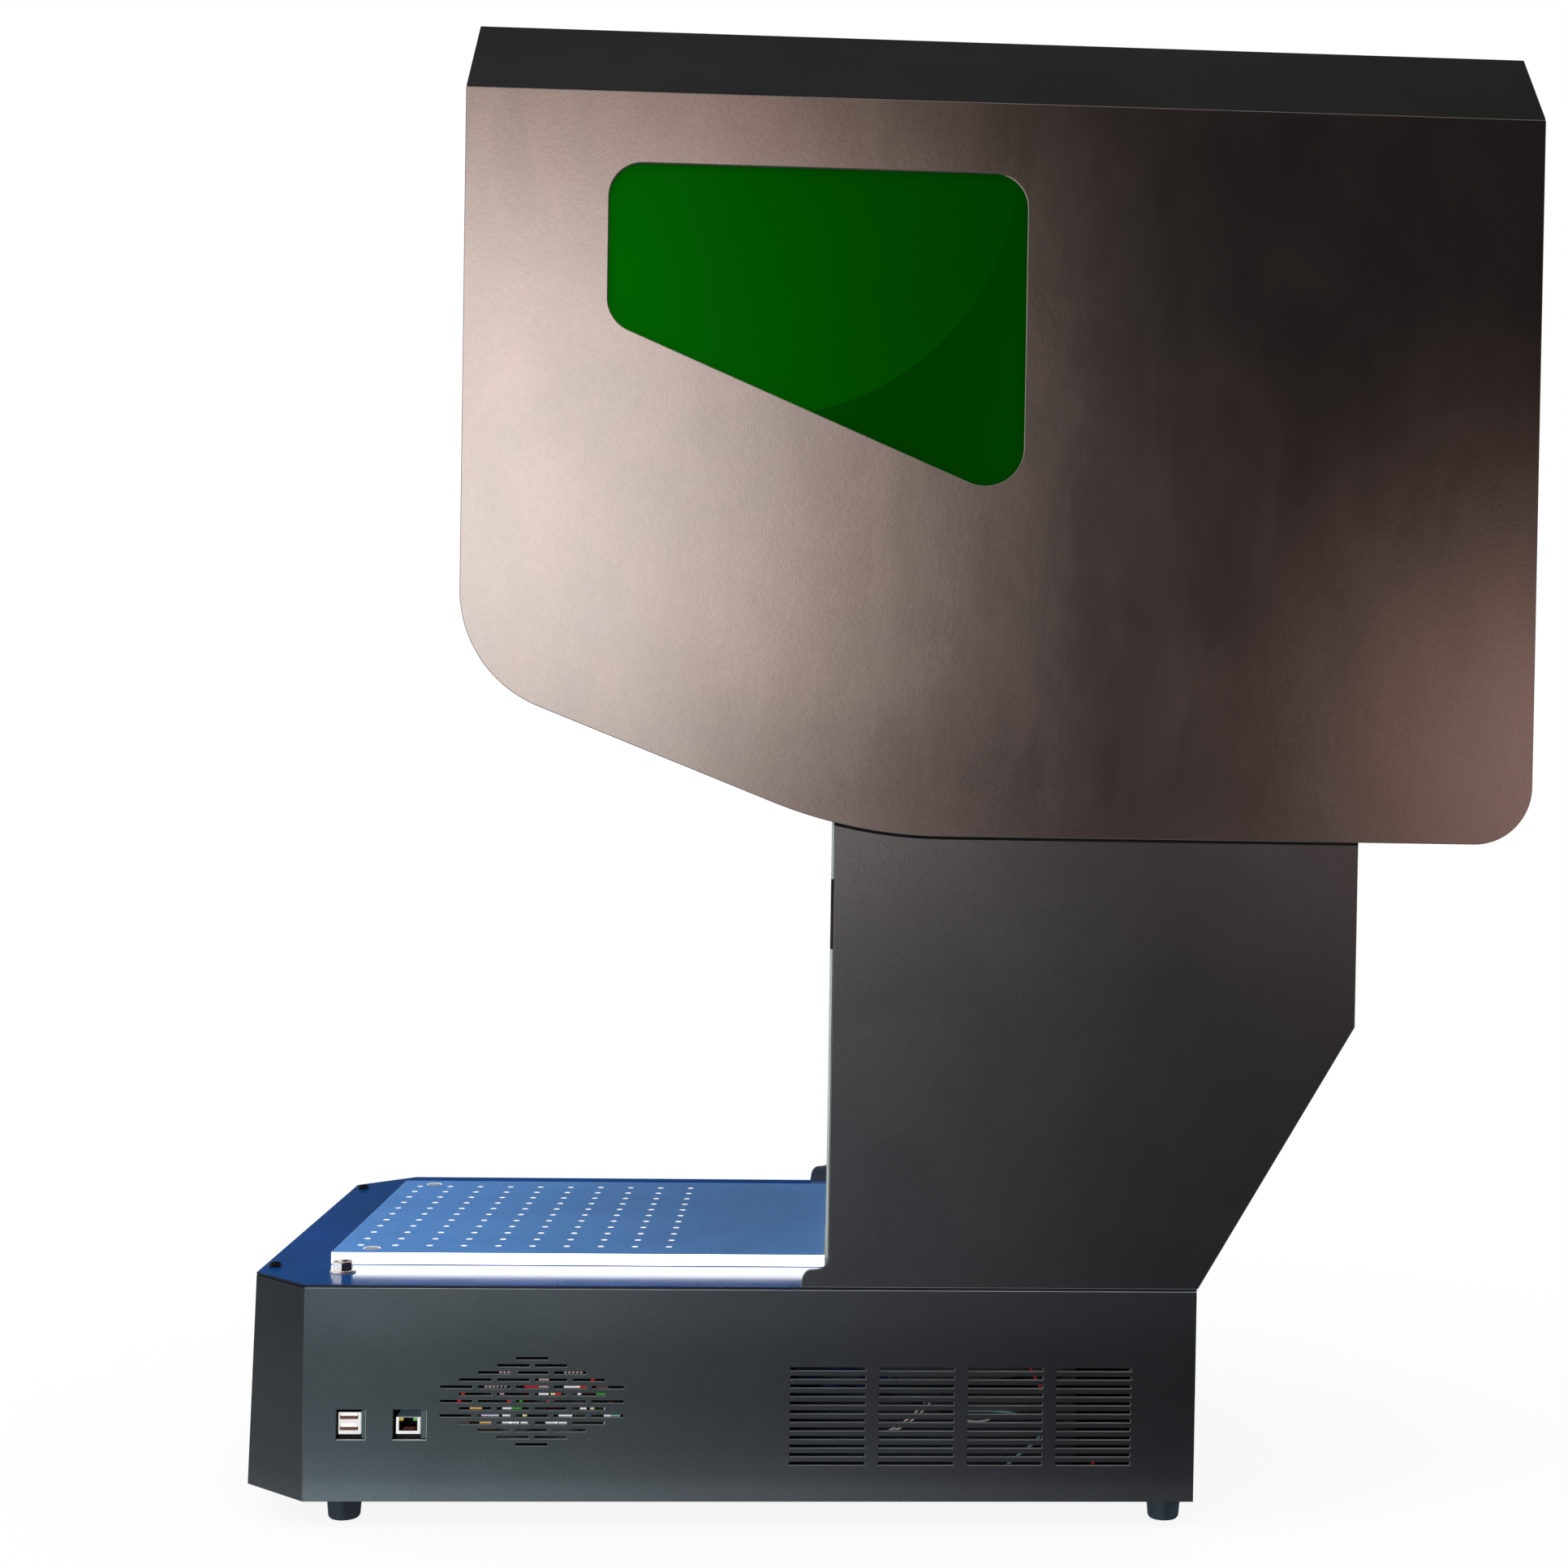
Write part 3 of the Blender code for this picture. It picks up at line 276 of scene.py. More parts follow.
# the plate top also carries a faint painted glow (emission), besides the painted light along its length
finish_mat("plate_top", (0.070, 0.27, 0.72), 0.26, 0.15, 0.5, clouds=(7, 0.06), grain=(1400, 0.06),
           bump=(900, 0.02), rvar=0.05, brushed=(60, 2600, 60), tint=(0.085, 0.30, 0.76),
           extra={"Emission Color": (0.034, 0.048, 0.066, 1.0), "Emission Strength": 1.0}, shade=plate_shade)
finish_mat("plate_edge", (0.92, 0.92, 0.90), 0.32, 0.15, 0.6, clouds=(40, 0.03), brushed=(2000, 40, 2000))
finish_mat("pale_face", (0.55, 0.62, 0.585), 0.38, 0.1, 0.5, clouds=(9, 0.04), grain=(1200, 0.04))
finish_mat("pale_edge", (0.50, 0.57, 0.53), 0.4, 0.2)
finish_mat("steel", (0.60, 0.60, 0.61), 0.26, 1.0, brushed=(900, 900, 60))
finish_mat("nickel", (0.80, 0.77, 0.72), 0.2, 1.0, clouds=(200, 0.08), grain=(3000, 0.05), rvar=0.05)
finish_mat("bright_screw", (0.93, 0.91, 0.88), 0.25, 0.55, clouds=(400, 0.06), rvar=0.05)
finish_mat("black_plastic", (0.017, 0.017, 0.018), 0.42, 0.0, 0.5, clouds=(30, 0.12), grain=(1500, 0.1))
finish_mat("socket_black", (0.006, 0.006, 0.007), 0.5, 0.0, 0.3, clouds=(60, 0.2))
finish_mat("black_screw", (0.035, 0.035, 0.04), 0.3, 0.9, clouds=(300, 0.15))
finish_mat("rubber", (0.014, 0.024, 0.038), 0.42, 0.0, 0.55, clouds=(60, 0.15), grain=(1800, 0.12), bump=(1300, 0.08),
           coat=0.25, coat_rough=0.22)
finish_mat("aluminium", (0.55, 0.56, 0.58), 0.33, 1.0, brushed=(60, 60, 1800), clouds=(15, 0.05))
finish_mat("anodised_black", (0.03, 0.03, 0.033), 0.32, 0.6, clouds=(40, 0.12), brushed=(80, 80, 2400))
finish_mat("red_plastic", (0.56, 0.012, 0.010), 0.26, 0.0, 0.5, clouds=(50, 0.06), coat=0.3)
finish_mat("yellow_plastic", (0.80, 0.52, 0.02), 0.34, 0.0, 0.5, clouds=(50, 0.06))
finish_mat("green_plastic", (0.02, 0.36, 0.08), 0.26, 0.0, 0.5, clouds=(50, 0.06), coat=0.3)
finish_mat("white_plastic", (0.86, 0.85, 0.82), 0.35, 0.0, 0.5, clouds=(200, 0.05))
finish_mat("gold_pin", (0.85, 0.60, 0.25), 0.25, 1.0, clouds=(600, 0.1))
finish_mat("brass", (0.70, 0.52, 0.22), 0.28, 1.0, clouds=(200, 0.08))
finish_mat("chip", (0.012, 0.012, 0.013), 0.45, 0.0, 0.5, clouds=(150, 0.15))
finish_mat("wire_black", (0.012, 0.012, 0.012), 0.45, 0.0, 0.5, clouds=(120, 0.1))


# deep green laser-safety acrylic with painted light: paler towards the front, and a painted round reflection that ends
# in an arc, darker beyond it; the acrylic also glows faintly in its own green
def window_material():
    m, t = new_mat("green_window")
    p = t.coords()
    xyz = t.node("ShaderNodeSeparateXYZ", None, {0: p}, None)
    y, z = xyz.outputs[1], xyz.outputs[2]
    lo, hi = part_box("window_right")
    front, rear, top = lo.y, hi.y, hi.z
    g = t.ramp(t.remap(y, front, rear, 0, 1, False), [(0.0, 0.100), (0.30, 0.078), (0.60, 0.060), (0.86, 0.052), (1.0, 0.052)])
    # the painted reflection: a round field about this centre, its edge the arc
    cy, cz = front + 0.0927, top - 0.004
    dist = t.m("POWER", t.m("ADD", t.m("POWER", t.m("SUBTRACT", y, cy), 2.0), t.m("POWER", t.m("SUBTRACT", z, cz), 2.0)), 0.5)
    out = t.remap(dist, 0.1446, 0.1454, 0, 1)
    dark = t.ramp(t.remap(y, cy, rear, 0, 1, False), [(0.0, 0.040), (0.55, 0.036), (1.0, 0.050)])
    v = t.m("ADD", t.m("MULTIPLY", g, t.m("SUBTRACT", 1.0, out)), t.m("MULTIPLY", dark, out))
    v = t.m("MULTIPLY", v, t.remap(t.noise(p, 14, 3, 0.5), 0.3, 0.7, 0.97, 1.03))
    c = t.node("ShaderNodeCombineXYZ", None, {0: t.m("MULTIPLY", v, 0.004), 1: v, 2: t.m("MULTIPLY", v, 0.004)})
    fine = t.noise(p, 260, 2, 0.5)
    bn = t.node("ShaderNodeBump", None, {"Strength": 0.03, "Distance": 0.00005, "Height": fine})
    t.surface(principled(t, t.scaled(c, 0.5), t.remap(fine, 0.3, 0.7, 0.05, 0.09), 0.0, 0.35, bn,
                         extra={"Specular Tint": (0.02, 1.0, 0.02, 1.0), "Emission Color": c, "Emission Strength": 0.4}))


window_material()


def board_material():
    m, t = new_mat("board")
    p = t.coords()
    tracks = t.node("ShaderNodeTexBrick", {"offset": 0.5}, {"Vector": t.mapped(p, (1, 1, 0)), "Scale": 60.0,
                    "Color1": (0.010, 0.095, 0.035, 1), "Color2": (0.012, 0.13, 0.05, 1), "Mortar": (0.006, 0.05, 0.02, 1),
                    "Mortar Size": 0.02})
    dots = t.node("ShaderNodeTexVoronoi", None, {"Vector": p, "Scale": 260.0})
    col = t.mix(t.remap(dots, 0.1, 0.16, 0.7, 0, False), tracks, (0.45, 0.44, 0.40, 1))
    t.surface(principled(t, t.scaled(col, 0.5), 0.55, 0.0, 0.2))


board_material()


def painted_glow_mat(name, colour, rough, glow, metal=0.0, clouds=(200, 0.06), **kw):
    """A finish with a painted glow: it emits its own colour, so it keeps that colour in the dark of the housing."""
    finish_mat(name, colour, rough, metal, 0.5, clouds=clouds,
               extra={"Emission Color": (*colour, 1.0), "Emission Strength": glow}, **kw)


# the parts behind the vents, the wires, the port pieces, the hole walls and the plate's edge glow with painted light
for k, c in {"white": (0.80, 0.80, 0.82), "cream": (0.72, 0.62, 0.40), "lilac": (0.50, 0.46, 0.64), "teal": (0.18, 0.34, 0.36),
             "tan": (0.66, 0.40, 0.12), "red": (0.50, 0.02, 0.02), "green": (0.03, 0.30, 0.03), "rose": (0.36, 0.28, 0.27), "dusk": (0.10, 0.06, 0.06)}.items():
    painted_glow_mat(f"part_{k}", c, 0.4, 0.75)
painted_glow_mat("wire_red", (0.26, 0.014, 0.018), 0.4, 0.45)
painted_glow_mat("wire_blue", (0.004, 0.010, 0.038), 0.4, 0.3)
painted_glow_mat("wire_pale", (0.50, 0.42, 0.43), 0.4, 0.4)
painted_glow_mat("wire_teal", (0.10, 0.17, 0.18), 0.4, 0.45)
painted_glow_mat("port_tin", (0.80, 0.79, 0.78), 0.35, 0.22, 0.2)
painted_glow_mat("port_pale", (0.84, 0.80, 0.80), 0.4, 0.25)
painted_glow_mat("port_slate", (0.030, 0.046, 0.050), 0.4, 0.9)
painted_glow_mat("port_rust", (0.085, 0.028, 0.018), 0.5, 0.6)
painted_glow_mat("port_pins", (0.30, 0.20, 0.18), 0.4, 0.35, clouds=(600, 0.3))
painted_glow_mat("port_yellow", (0.36, 0.34, 0.03), 0.3, 0.35)
painted_glow_mat("port_green", (0.12, 0.36, 0.08), 0.3, 0.3)
painted_glow_mat("hole_rim_painted_glow", (0.92, 0.91, 0.90), 0.3, 0.32, 0.1, clouds=(40, 0.03))
painted_glow_mat("plate_painted_highlight", (0.96, 0.945, 0.91), 0.3, 2.5, 0.1, clouds=(40, 0.02), brushed=(2000, 40, 2000))


def glass_material(name, colour, mirror=False):
    m, t = new_mat(name)
    p = t.coords()
    n = t.noise(p, 90, 2, 0.5)
    if mirror:
        t.surface(principled(t, t.scaled(colour, t.remap(n, 0.3, 0.7, 0.96, 1.04)), t.remap(n, 0.3, 0.7, 0.02, 0.05), 1.0))
    else:
        t.surface(principled(t, t.scaled(colour, t.remap(n, 0.3, 0.7, 0.9, 1.1)), t.remap(n, 0.3, 0.7, 0.03, 0.06), 0.0, 0.9,
                             coat=1.0, coat_rough=0.02))


glass_material("lens_glass", (0.03, 0.05, 0.09))
glass_material("mirror", (0.9, 0.82, 0.66), True)


# =============================================================== mesh helpers
def add(name, me, body, mats, replaces=()):
    me.name = name
    me.materials.clear()
    for m in mats if isinstance(mats, (list, tuple)) else [mats]:
        me.materials.append(MATS[m])
    ob = bpy.data.objects.new(name, me)
    bpy.context.scene.collection.objects.link(ob)
    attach(ob, body)
    if replaces:
        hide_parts(*replaces)
    return ob


def mesh_of(ob):
    """Evaluated mesh of an object, which is then removed."""
    bpy.context.view_layer.update()
    me = bpy.data.meshes.new_from_object(ob.evaluated_get(bpy.context.evaluated_depsgraph_get()))
    me.transform(ob.matrix_world)
    bpy.data.objects.remove(ob, do_unlink=True)
    return me


def tidy(me, merge=1e-6):
    bm = bmesh.new()
    bm.from_mesh(me)
    bmesh.ops.remove_doubles(bm, verts=bm.verts, dist=merge)
    bmesh.ops.dissolve_degenerate(bm, edges=bm.edges, dist=merge)
    bmesh.ops.recalc_face_normals(bm, faces=bm.faces)
    bm.to_mesh(me)
    bm.free()
    return me


def smooth(me, angle=35):
    me.shade_smooth()
    me.set_sharp_from_angle(angle=math.radians(angle))
    return me


def area2(pts):
    return sum(a[0] * b[1] - b[0] * a[1] for a, b in zip(pts, pts[1:] + pts[:1])) / 2


def face_loops(node, axis, high=True):
    """The flat face of a CAD node at the high or low end of an axis, as an outline and its holes."""
    bm = bmesh.new()
    bm.from_mesh(frame["nodes"][node].data)
    bmesh.ops.remove_doubles(bm, verts=bm.verts, dist=2e-6)
    e = (max if high else min)(v.co[axis] for v in bm.verts)
    flat = {f for f in bm.faces if all(abs(v.co[axis] - e) < 3e-5 for v in f.verts)}
    nxt = {}
    for f in flat:
        for lp in f.loops:
            if not any(g in flat for g in lp.edge.link_faces if g is not f):
                nxt[lp.vert.index] = lp.link_loop_next.vert
    bm.verts.ensure_lookup_table()
    keep = [i for i in range(3) if i != axis]
    loops, seen = [], set()
    for start in list(nxt):
        if start in seen:
            continue
        pts, i = [], start
        while i not in seen:
            seen.add(i)
            pts.append(tuple(bm.verts[i].co[k] for k in keep))
            i = nxt[i].index
        loops.append(pts)
    bm.free()
    clean = []
    for pts in loops:
        out = []
        k = len(pts)
        for i in range(k):
            a, b, c = Vector(pts[i - 1]), Vector(pts[i]), Vector(pts[(i + 1) % k])
            u, v = b - a, c - b
            if u.length < 1e-6:
                continue
            if abs(u.x * v.y - u.y * v.x) > 1e-4 * u.length * max(v.length, 1e-9):
                out.append(pts[i])
        clean.append(out)
    clean.sort(key=lambda q: -abs(area2(q)))
    return clean[0], clean[1:]


def as_circle(pts, n=28):
    """A hole whose corners lie on a circle becomes a true circle."""
    c = sum((Vector(p) for p in pts), Vector((0, 0))) / len(pts)
    d = [(Vector(p) - c).length for p in pts]
    if len(pts) >= 5 and max(d) - min(d) < 3e-5:
        r = sum(d) / len(d)
        return [(c.x + r * math.cos(2 * math.pi * i / n), c.y + r * math.sin(2 * math.pi * i / n)) for i in range(n)]
    return None


def finer(pts, rounds=2):
    """Splits the chords of arcs, pushing each new point out to the arc."""
    for _ in range(rounds):
        k = len(pts)
        turn = []
        for i in range(k):
            a, b, c = Vector(pts[i - 1]), Vector(pts[i]), Vector(pts[(i + 1) % k])
            u, v = (b - a).normalized(), (c - b).normalized()
            t = math.atan2(u.x * v.y - u.y * v.x, u.dot(v))
            turn.append(t if 0.01 < abs(t) < 0.6 else 0.0)
        out = []
        for i in range(k):
            out.append(pts[i])
            j = (i + 1) % k
            if turn[i] and turn[j] and turn[i] * turn[j] > 0:
                a, b = Vector(pts[i]), Vector(pts[j])
                d = b - a
                if d.length > 0.05:
                    continue
                th = (max(abs(turn[i]), abs(turn[j]))) * (1 if turn[i] > 0 else -1)
                s = d.length * math.tan(th / 4) / 2
                mid = (a + b) / 2 + Vector((d.y, -d.x)).normalized() * s
                out.append(tuple(mid))
        pts = out
    return pts


def extruded(outline, holes, lo, hi, axis, bevel=0.0, res=2):
    """A plate from an outline with holes, between lo and hi along an axis, with its edges rounded."""
    cu = bpy.data.curves.new("plate", "CURVE")
    cu.dimensions = "2D"
    cu.fill_mode = "BOTH"
    cu.extrude = max((hi - lo) / 2 - bevel, 1e-7)
    cu.bevel_depth = bevel
    cu.bevel_resolution = res
    cu.offset = -bevel
    for pts in [outline] + list(holes):
        sp = cu.splines.new("POLY")
        sp.points.add(len(pts) - 1)
        for p, q in zip(sp.points, pts):
            p.co = (q[0], q[1], 0, 1)
        sp.use_cyclic_u = True
    ob = bpy.data.objects.new("plate", cu)
    bpy.context.scene.collection.objects.link(ob)
    me = mesh_of(ob)
    cols = {2: ((1, 0, 0), (0, 1, 0), (0, 0, 1)), 0: ((0, 0, 1), (1, 0, 0), (0, 1, 0)),
            1: ((1, 0, 0), (0, 0, -1), (0, 1, 0))}[axis]
    shift = [0, 0, 0]
    shift[axis] = (lo + hi) / 2
    me.transform(Matrix.Translation(shift) @ Matrix(cols).to_4x4())
    return tidy(me)


def two_tone(me, axis, lit=False):
    """Faces square to the axis keep the first material, edges take the second. With lit, the edges get painted light:
    those that face up or to the front take the second, lit copy as a painted highlight and all others the third, shaded
    copy as painted shade."""
    for p in me.polygons:
        edge = 1 if not lit or p.normal.z > 0.3 or p.normal.y < -0.3 else 2
        p.material_index = 0 if abs(p.normal[axis]) > 0.985 else edge


def weighted(ob):
    """Keeps large flat faces flat in the shading of a rounded part."""
    m = ob.modifiers.new("normals", "WEIGHTED_NORMAL")
    m.mode = "FACE_AREA"
    m.weight = 100
    m.keep_sharp = True
    return ob


def plate(node, axis, high, mats, bevel, holes=None, outline=None, res=2, name=None, lit=False):
    """Rebuilds a flat CAD node with true arcs, round holes and rounded edges."""
    o, hs = face_loops(node, axis, high)
    lo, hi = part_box(node)
    o = finer(outline(o) if outline else o)
    hs = holes if holes is not None else [as_circle(h) or finer(h) for h in hs]
    me = extruded(o, hs, lo[axis], hi[axis], axis, bevel, res)
    ob = add(name or node + "_panel", me, BODY[node], mats, [node])
    two_tone(me, axis, lit)
    return ob


def refined(node, bevel, mats, angle=30, name=None, segs=2, shade=35):
    """A CAD node's own shape with rounded edges and smooth arcs, as a new piece."""
    me = frame["nodes"][node].data.copy()
    bm = bmesh.new()
    bm.from_mesh(me)
    bmesh.ops.remove_doubles(bm, verts=bm.verts, dist=2e-6)
    bmesh.ops.dissolve_limit(bm, angle_limit=math.radians(0.6), verts=bm.verts, edges=bm.edges,
                             use_dissolve_boundaries=False)
    if bevel:
        es = [e for e in bm.edges if len(e.link_faces) == 2 and e.calc_face_angle(0) > math.radians(angle)]
        bmesh.ops.bevel(bm, geom=es, offset=bevel, segments=segs, profile=0.5, affect="EDGES", clamp_overlap=True)
    bmesh.ops.recalc_face_normals(bm, faces=bm.faces)
    bm.to_mesh(me)
    bm.free()
    smooth(me, shade)
    ob = add(name or node + "_body", me, BODY[node], mats, [node])
    weighted(ob)
    return ob


def lathe(profile, steps=64, cap=True):
    """Profile of (radius, z) in mm, outer side top to bottom, turned round the local z axis."""
    bm = bmesh.new()
    rings = []
    for r, z in profile:
        if r < 1e-6:
            rings.append([bm.verts.new((0, 0, z * MM))])
        else:
            rings.append([bm.verts.new((r * MM * math.cos(2 * math.pi * i / steps),
                                        r * MM * math.sin(2 * math.pi * i / steps), z * MM)) for i in range(steps)])
    closed = list(zip(rings, rings[1:]))
    if not cap:
        closed.append((rings[-1], rings[0]))
    for a, b in closed:
        for i in range(steps):
            j = (i + 1) % steps
            q = [a[i % len(a)], b[i % len(b)], b[j % len(b)], a[j % len(a)]]
            u = []
            for v in q:
                if v not in u:
                    u.append(v)
            if len(u) > 2:
                bm.faces.new(u)
    bmesh.ops.recalc_face_normals(bm, faces=bm.faces)
    me = bpy.data.meshes.new("turned")
    bm.to_mesh(me)
    bm.free()
    return smooth(me, 28)


def rounded_profile(profile, r=0.4, n=3):
    """Rounds the inner corners of a lathe profile."""
    out = [profile[0]]
    for i in range(1, len(profile) - 1):
        a, p, b = (Vector(q) for q in profile[i - 1:i + 2])
        u, v = a - p, b - p
        k = min(r, u.length * 0.45, v.length * 0.45)
        if k < 0.02:
            out.append(tuple(p))
            continue
        s, e = p + u.normalized() * k, p + v.normalized() * k
        for j in range(n + 1):
            t = j / n
            out.append(tuple(s * (1 - t) ** 2 + p * 2 * t * (1 - t) + e * t * t))
    out.append(profile[-1])
    return out


def at(me, loc, rot=(0, 0, 0)):
    """Moves a mesh made about its own origin to its place (metres)."""
    from_rot = Matrix.Rotation(rot[2], 4, "Z") @ Matrix.Rotation(rot[1], 4, "Y") @ Matrix.Rotation(rot[0], 4, "X")
    me.transform(Matrix.Translation(loc) @ from_rot)
    return me


def soft_box(x0, x1, y0, y1, z0, z1, bevel, segs=2):
    """A moulded block with rounded edges; coordinates in metres."""
    bm = bmesh.new()
    bmesh.ops.create_cube(bm, size=1.0)
    bmesh.ops.scale(bm, vec=(x1 - x0, y1 - y0, z1 - z0), verts=bm.verts)
    bmesh.ops.translate(bm, vec=((x0 + x1) / 2, (y0 + y1) / 2, (z0 + z1) / 2), verts=bm.verts)
    bmesh.ops.bevel(bm, geom=bm.edges[:], offset=bevel, segments=segs, profile=0.5, affect="EDGES",
                    clamp_overlap=True)
    me = bpy.data.meshes.new("block")
    bm.to_mesh(me)
    bm.free()
    return me


def join(meshes, tags=None):
    """One mesh from several; tags gives each its material index."""
    bm = bmesh.new()
    for i, me in enumerate(meshes):
        n = len(bm.faces)
        bm.from_mesh(me)
        bm.faces.ensure_lookup_table()
        if tags:
            for f in bm.faces[n:]:
                f.material_index = tags[i]
    out = bpy.data.meshes.new("joined")
    bm.to_mesh(out)
    bm.free()
    return out


def cut(me, *others):
    """Subtracts closed meshes from a mesh with the exact solver."""
    ob = bpy.data.objects.new("work", me)
    bpy.context.scene.collection.objects.link(ob)
    tools = []
    for k, o in enumerate(others):
        t = bpy.data.objects.new(f"tool{k}", o)
        bpy.context.scene.collection.objects.link(t)
        m = ob.modifiers.new("cut", "BOOLEAN")
        m.operation = "DIFFERENCE"
        m.solver = "EXACT"
        m.object = t
        tools.append(t)
    out = mesh_of(ob)
    for t in tools:
        bpy.data.objects.remove(t, do_unlink=True)
    return out


def prism(n, r, z0, z1, turn=0.0):
    """Hexagon and similar, across-corner radius r in mm, between z0 and z1."""
    bm = bmesh.new()
    bmesh.ops.create_cone(bm, cap_ends=True, segments=n, radius1=r * MM, radius2=r * MM, depth=(z1 - z0) * MM)
    bmesh.ops.translate(bm, vec=(0, 0, (z0 + z1) / 2 * MM), verts=bm.verts)
    bmesh.ops.rotate(bm, matrix=Matrix.Rotation(turn, 3, "Z"), verts=bm.verts)
    me = bpy.data.meshes.new("prism")
    bm.to_mesh(me)
    bm.free()
    return me


def tube(name, pts, r, mat, body, res=3):
    """A cable along points in metres, converted to a mesh."""
    cu = bpy.data.curves.new(name, "CURVE")
    cu.dimensions = "3D"
    sp = cu.splines.new("NURBS")
    sp.points.add(len(pts) - 1)
    for p, q in zip(sp.points, pts):
        p.co = (*q, 1)
    sp.use_endpoint_u = True
    sp.order_u = 4
    sp.resolution_u = 8
    cu.bevel_depth = r
    cu.bevel_resolution = res
    cu.use_fill_caps = True
    ob = bpy.data.objects.new("w", cu)
    bpy.context.scene.collection.objects.link(ob)
    me = tidy(mesh_of(ob))
    smooth(me, 50)
    return add(name, me, body, mat)


def centre(node):
    lo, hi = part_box(node)
    return (lo + hi) / 2


def stand(ob):
    """Lets a sheet rest on the top plate."""
    foot = min(v.co.z for v in ob.data.vertices)
    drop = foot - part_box("base_top_plate")[1].z - 0.00003
    for v in ob.data.vertices:
        if v.co.z < foot + 0.0006:
            v.co.z -= drop


# =============================================================== sheet metal and plates
for side in ("right", "left"):
    high = side == "right"
    # the side plates' edges take painted light: the lit copy where they face up or to the front, the shaded copy
    # elsewhere
    plate(f"hood_side_{side}", 0, high, ["hood_paint", "hood_edge", "hood_edge_painted_shade"], 0.4 * MM, lit=True)
    plate(f"window_{side}", 0, high, ["green_window", "green_window"], 0.3 * MM)
    ob = plate(f"column_side_{side}", 0, high, ["column_paint", "column_edge"], 0.35 * MM)
    stand(ob)
    ob = plate(f"base_side_{side}", 0, high, ["base_paint", "base_edge_painted_highlight", "base_edge_painted_shade", "slot_edge_painted_light"], 0.15 * MM,
               res=1, lit=True)
    lo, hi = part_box(f"base_side_{side}")
    # lit edges inside the slots, below the top edge and away from the ports, take the dimmer painted light
    for p in ob.data.polygons:
        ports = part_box("usb_port")[0].y - 0.003 < p.center.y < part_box("lan_port")[1].y + 0.003
        if p.material_index == 1 and p.center.z < hi.z - 0.004 and not ports:
            p.material_index = 3
    inner = lo.x if high else hi.x
    for v in ob.data.vertices:              # mitre to the corner sheet
        if v.co.y < lo.y + 0.0011 and abs(v.co.x - inner) < 0.0012:
            v.co.y += 0.0024
plate("base_top_plate", 2, True, ["blue_top", "blue_edge"], 0.4 * MM)
ob = plate("work_plate", 2, True, ["plate_top", "plate_edge", "plate_painted_highlight", "hole_rim_painted_glow"], 0.3 * MM)
lo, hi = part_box("work_plate")
# the long edge towards the light glows as a painted highlight, and the walls of the holes glow faintly as painted light
for p in ob.data.polygons:                   # the long edge towards the light
    if p.material_index == 1 and p.normal.x > 0.3 and p.center.x > hi.x - 0.001:
        p.material_index = 2
    elif p.material_index == 1 and abs(p.center.x) < hi.x - 0.005 and lo.y + 0.005 < p.center.y < hi.y - 0.005:
        p.material_index = 3
stand(plate("column_front_lower", 1, False, ["pale_face", "pale_edge"], 0.25 * MM))
plate("column_front_upper", 1, False, ["pale_face", "pale_edge"], 0.25 * MM)
plate("fume_grille", 1, False, ["black_plastic", "black_plastic"], 0.25 * MM)
plate("base_rear_panel", 1, True, ["base_paint", "base_edge"], 0.3 * MM)
plate("base_tray", 2, False, ["base_paint", "base_edge"], 0.3 * MM)
refined("base_front_panel", 0.35 * MM, ["corner_paint"])
refined("column_rear_panel", 0.35 * MM, ["column_paint"], angle=60)
refined("hood_front_panel", 0.3 * MM, ["hood_paint"], angle=60)
refined("hood_rear_panel", 0.25 * MM, ["hood_paint"], angle=60)


def hood_top():
    """Folded cover: top, two bevels and two ends in one sheet."""
    lo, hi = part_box("hood_top")
    me0 = frame["nodes"]["hood_top"].data
    wide = max(v.co.x for v in me0.vertices if v.co.z > hi.z - 1e-5)
    bm = bmesh.new()
    rows = []
    for y in (lo.y, hi.y):
        rows.append([bm.verts.new(p) for p in ((-hi.x, y, lo.z), (-wide, y, hi.z), (wide, y, hi.z), (hi.x, y, lo.z))])
    a, b = rows
    for i in range(3):
        bm.faces.new((a[i], a[i + 1], b[i + 1], b[i]))
    bm.faces.new(a[::-1])
    bm.faces.new(b)
    bmesh.ops.recalc_face_normals(bm, faces=bm.faces)
    me = bpy.data.meshes.new("top")
    bm.to_mesh(me)
    bm.free()
    if me.polygons[1].normal.z < 0:
        me.flip_normals()
    ob = bpy.data.objects.new("top", me)
    bpy.context.scene.collection.objects.link(ob)
    m = ob.modifiers.new("t", "SOLIDIFY")
    m.thickness = 2 * MM
    m.offset = -1
    m.use_even_offset = True
    m = ob.modifiers.new("b", "BEVEL")
    m.width = 0.7 * MM
    m.segments = 3
    m.limit_method = "ANGLE"
    m.angle_limit = math.radians(25)
    me = tidy(mesh_of(ob))
    smooth(me, 30)
    return add("hood_top_cover", me, BODY["hood_top"], ["top_paint"], ["hood_top"])


hood_top()

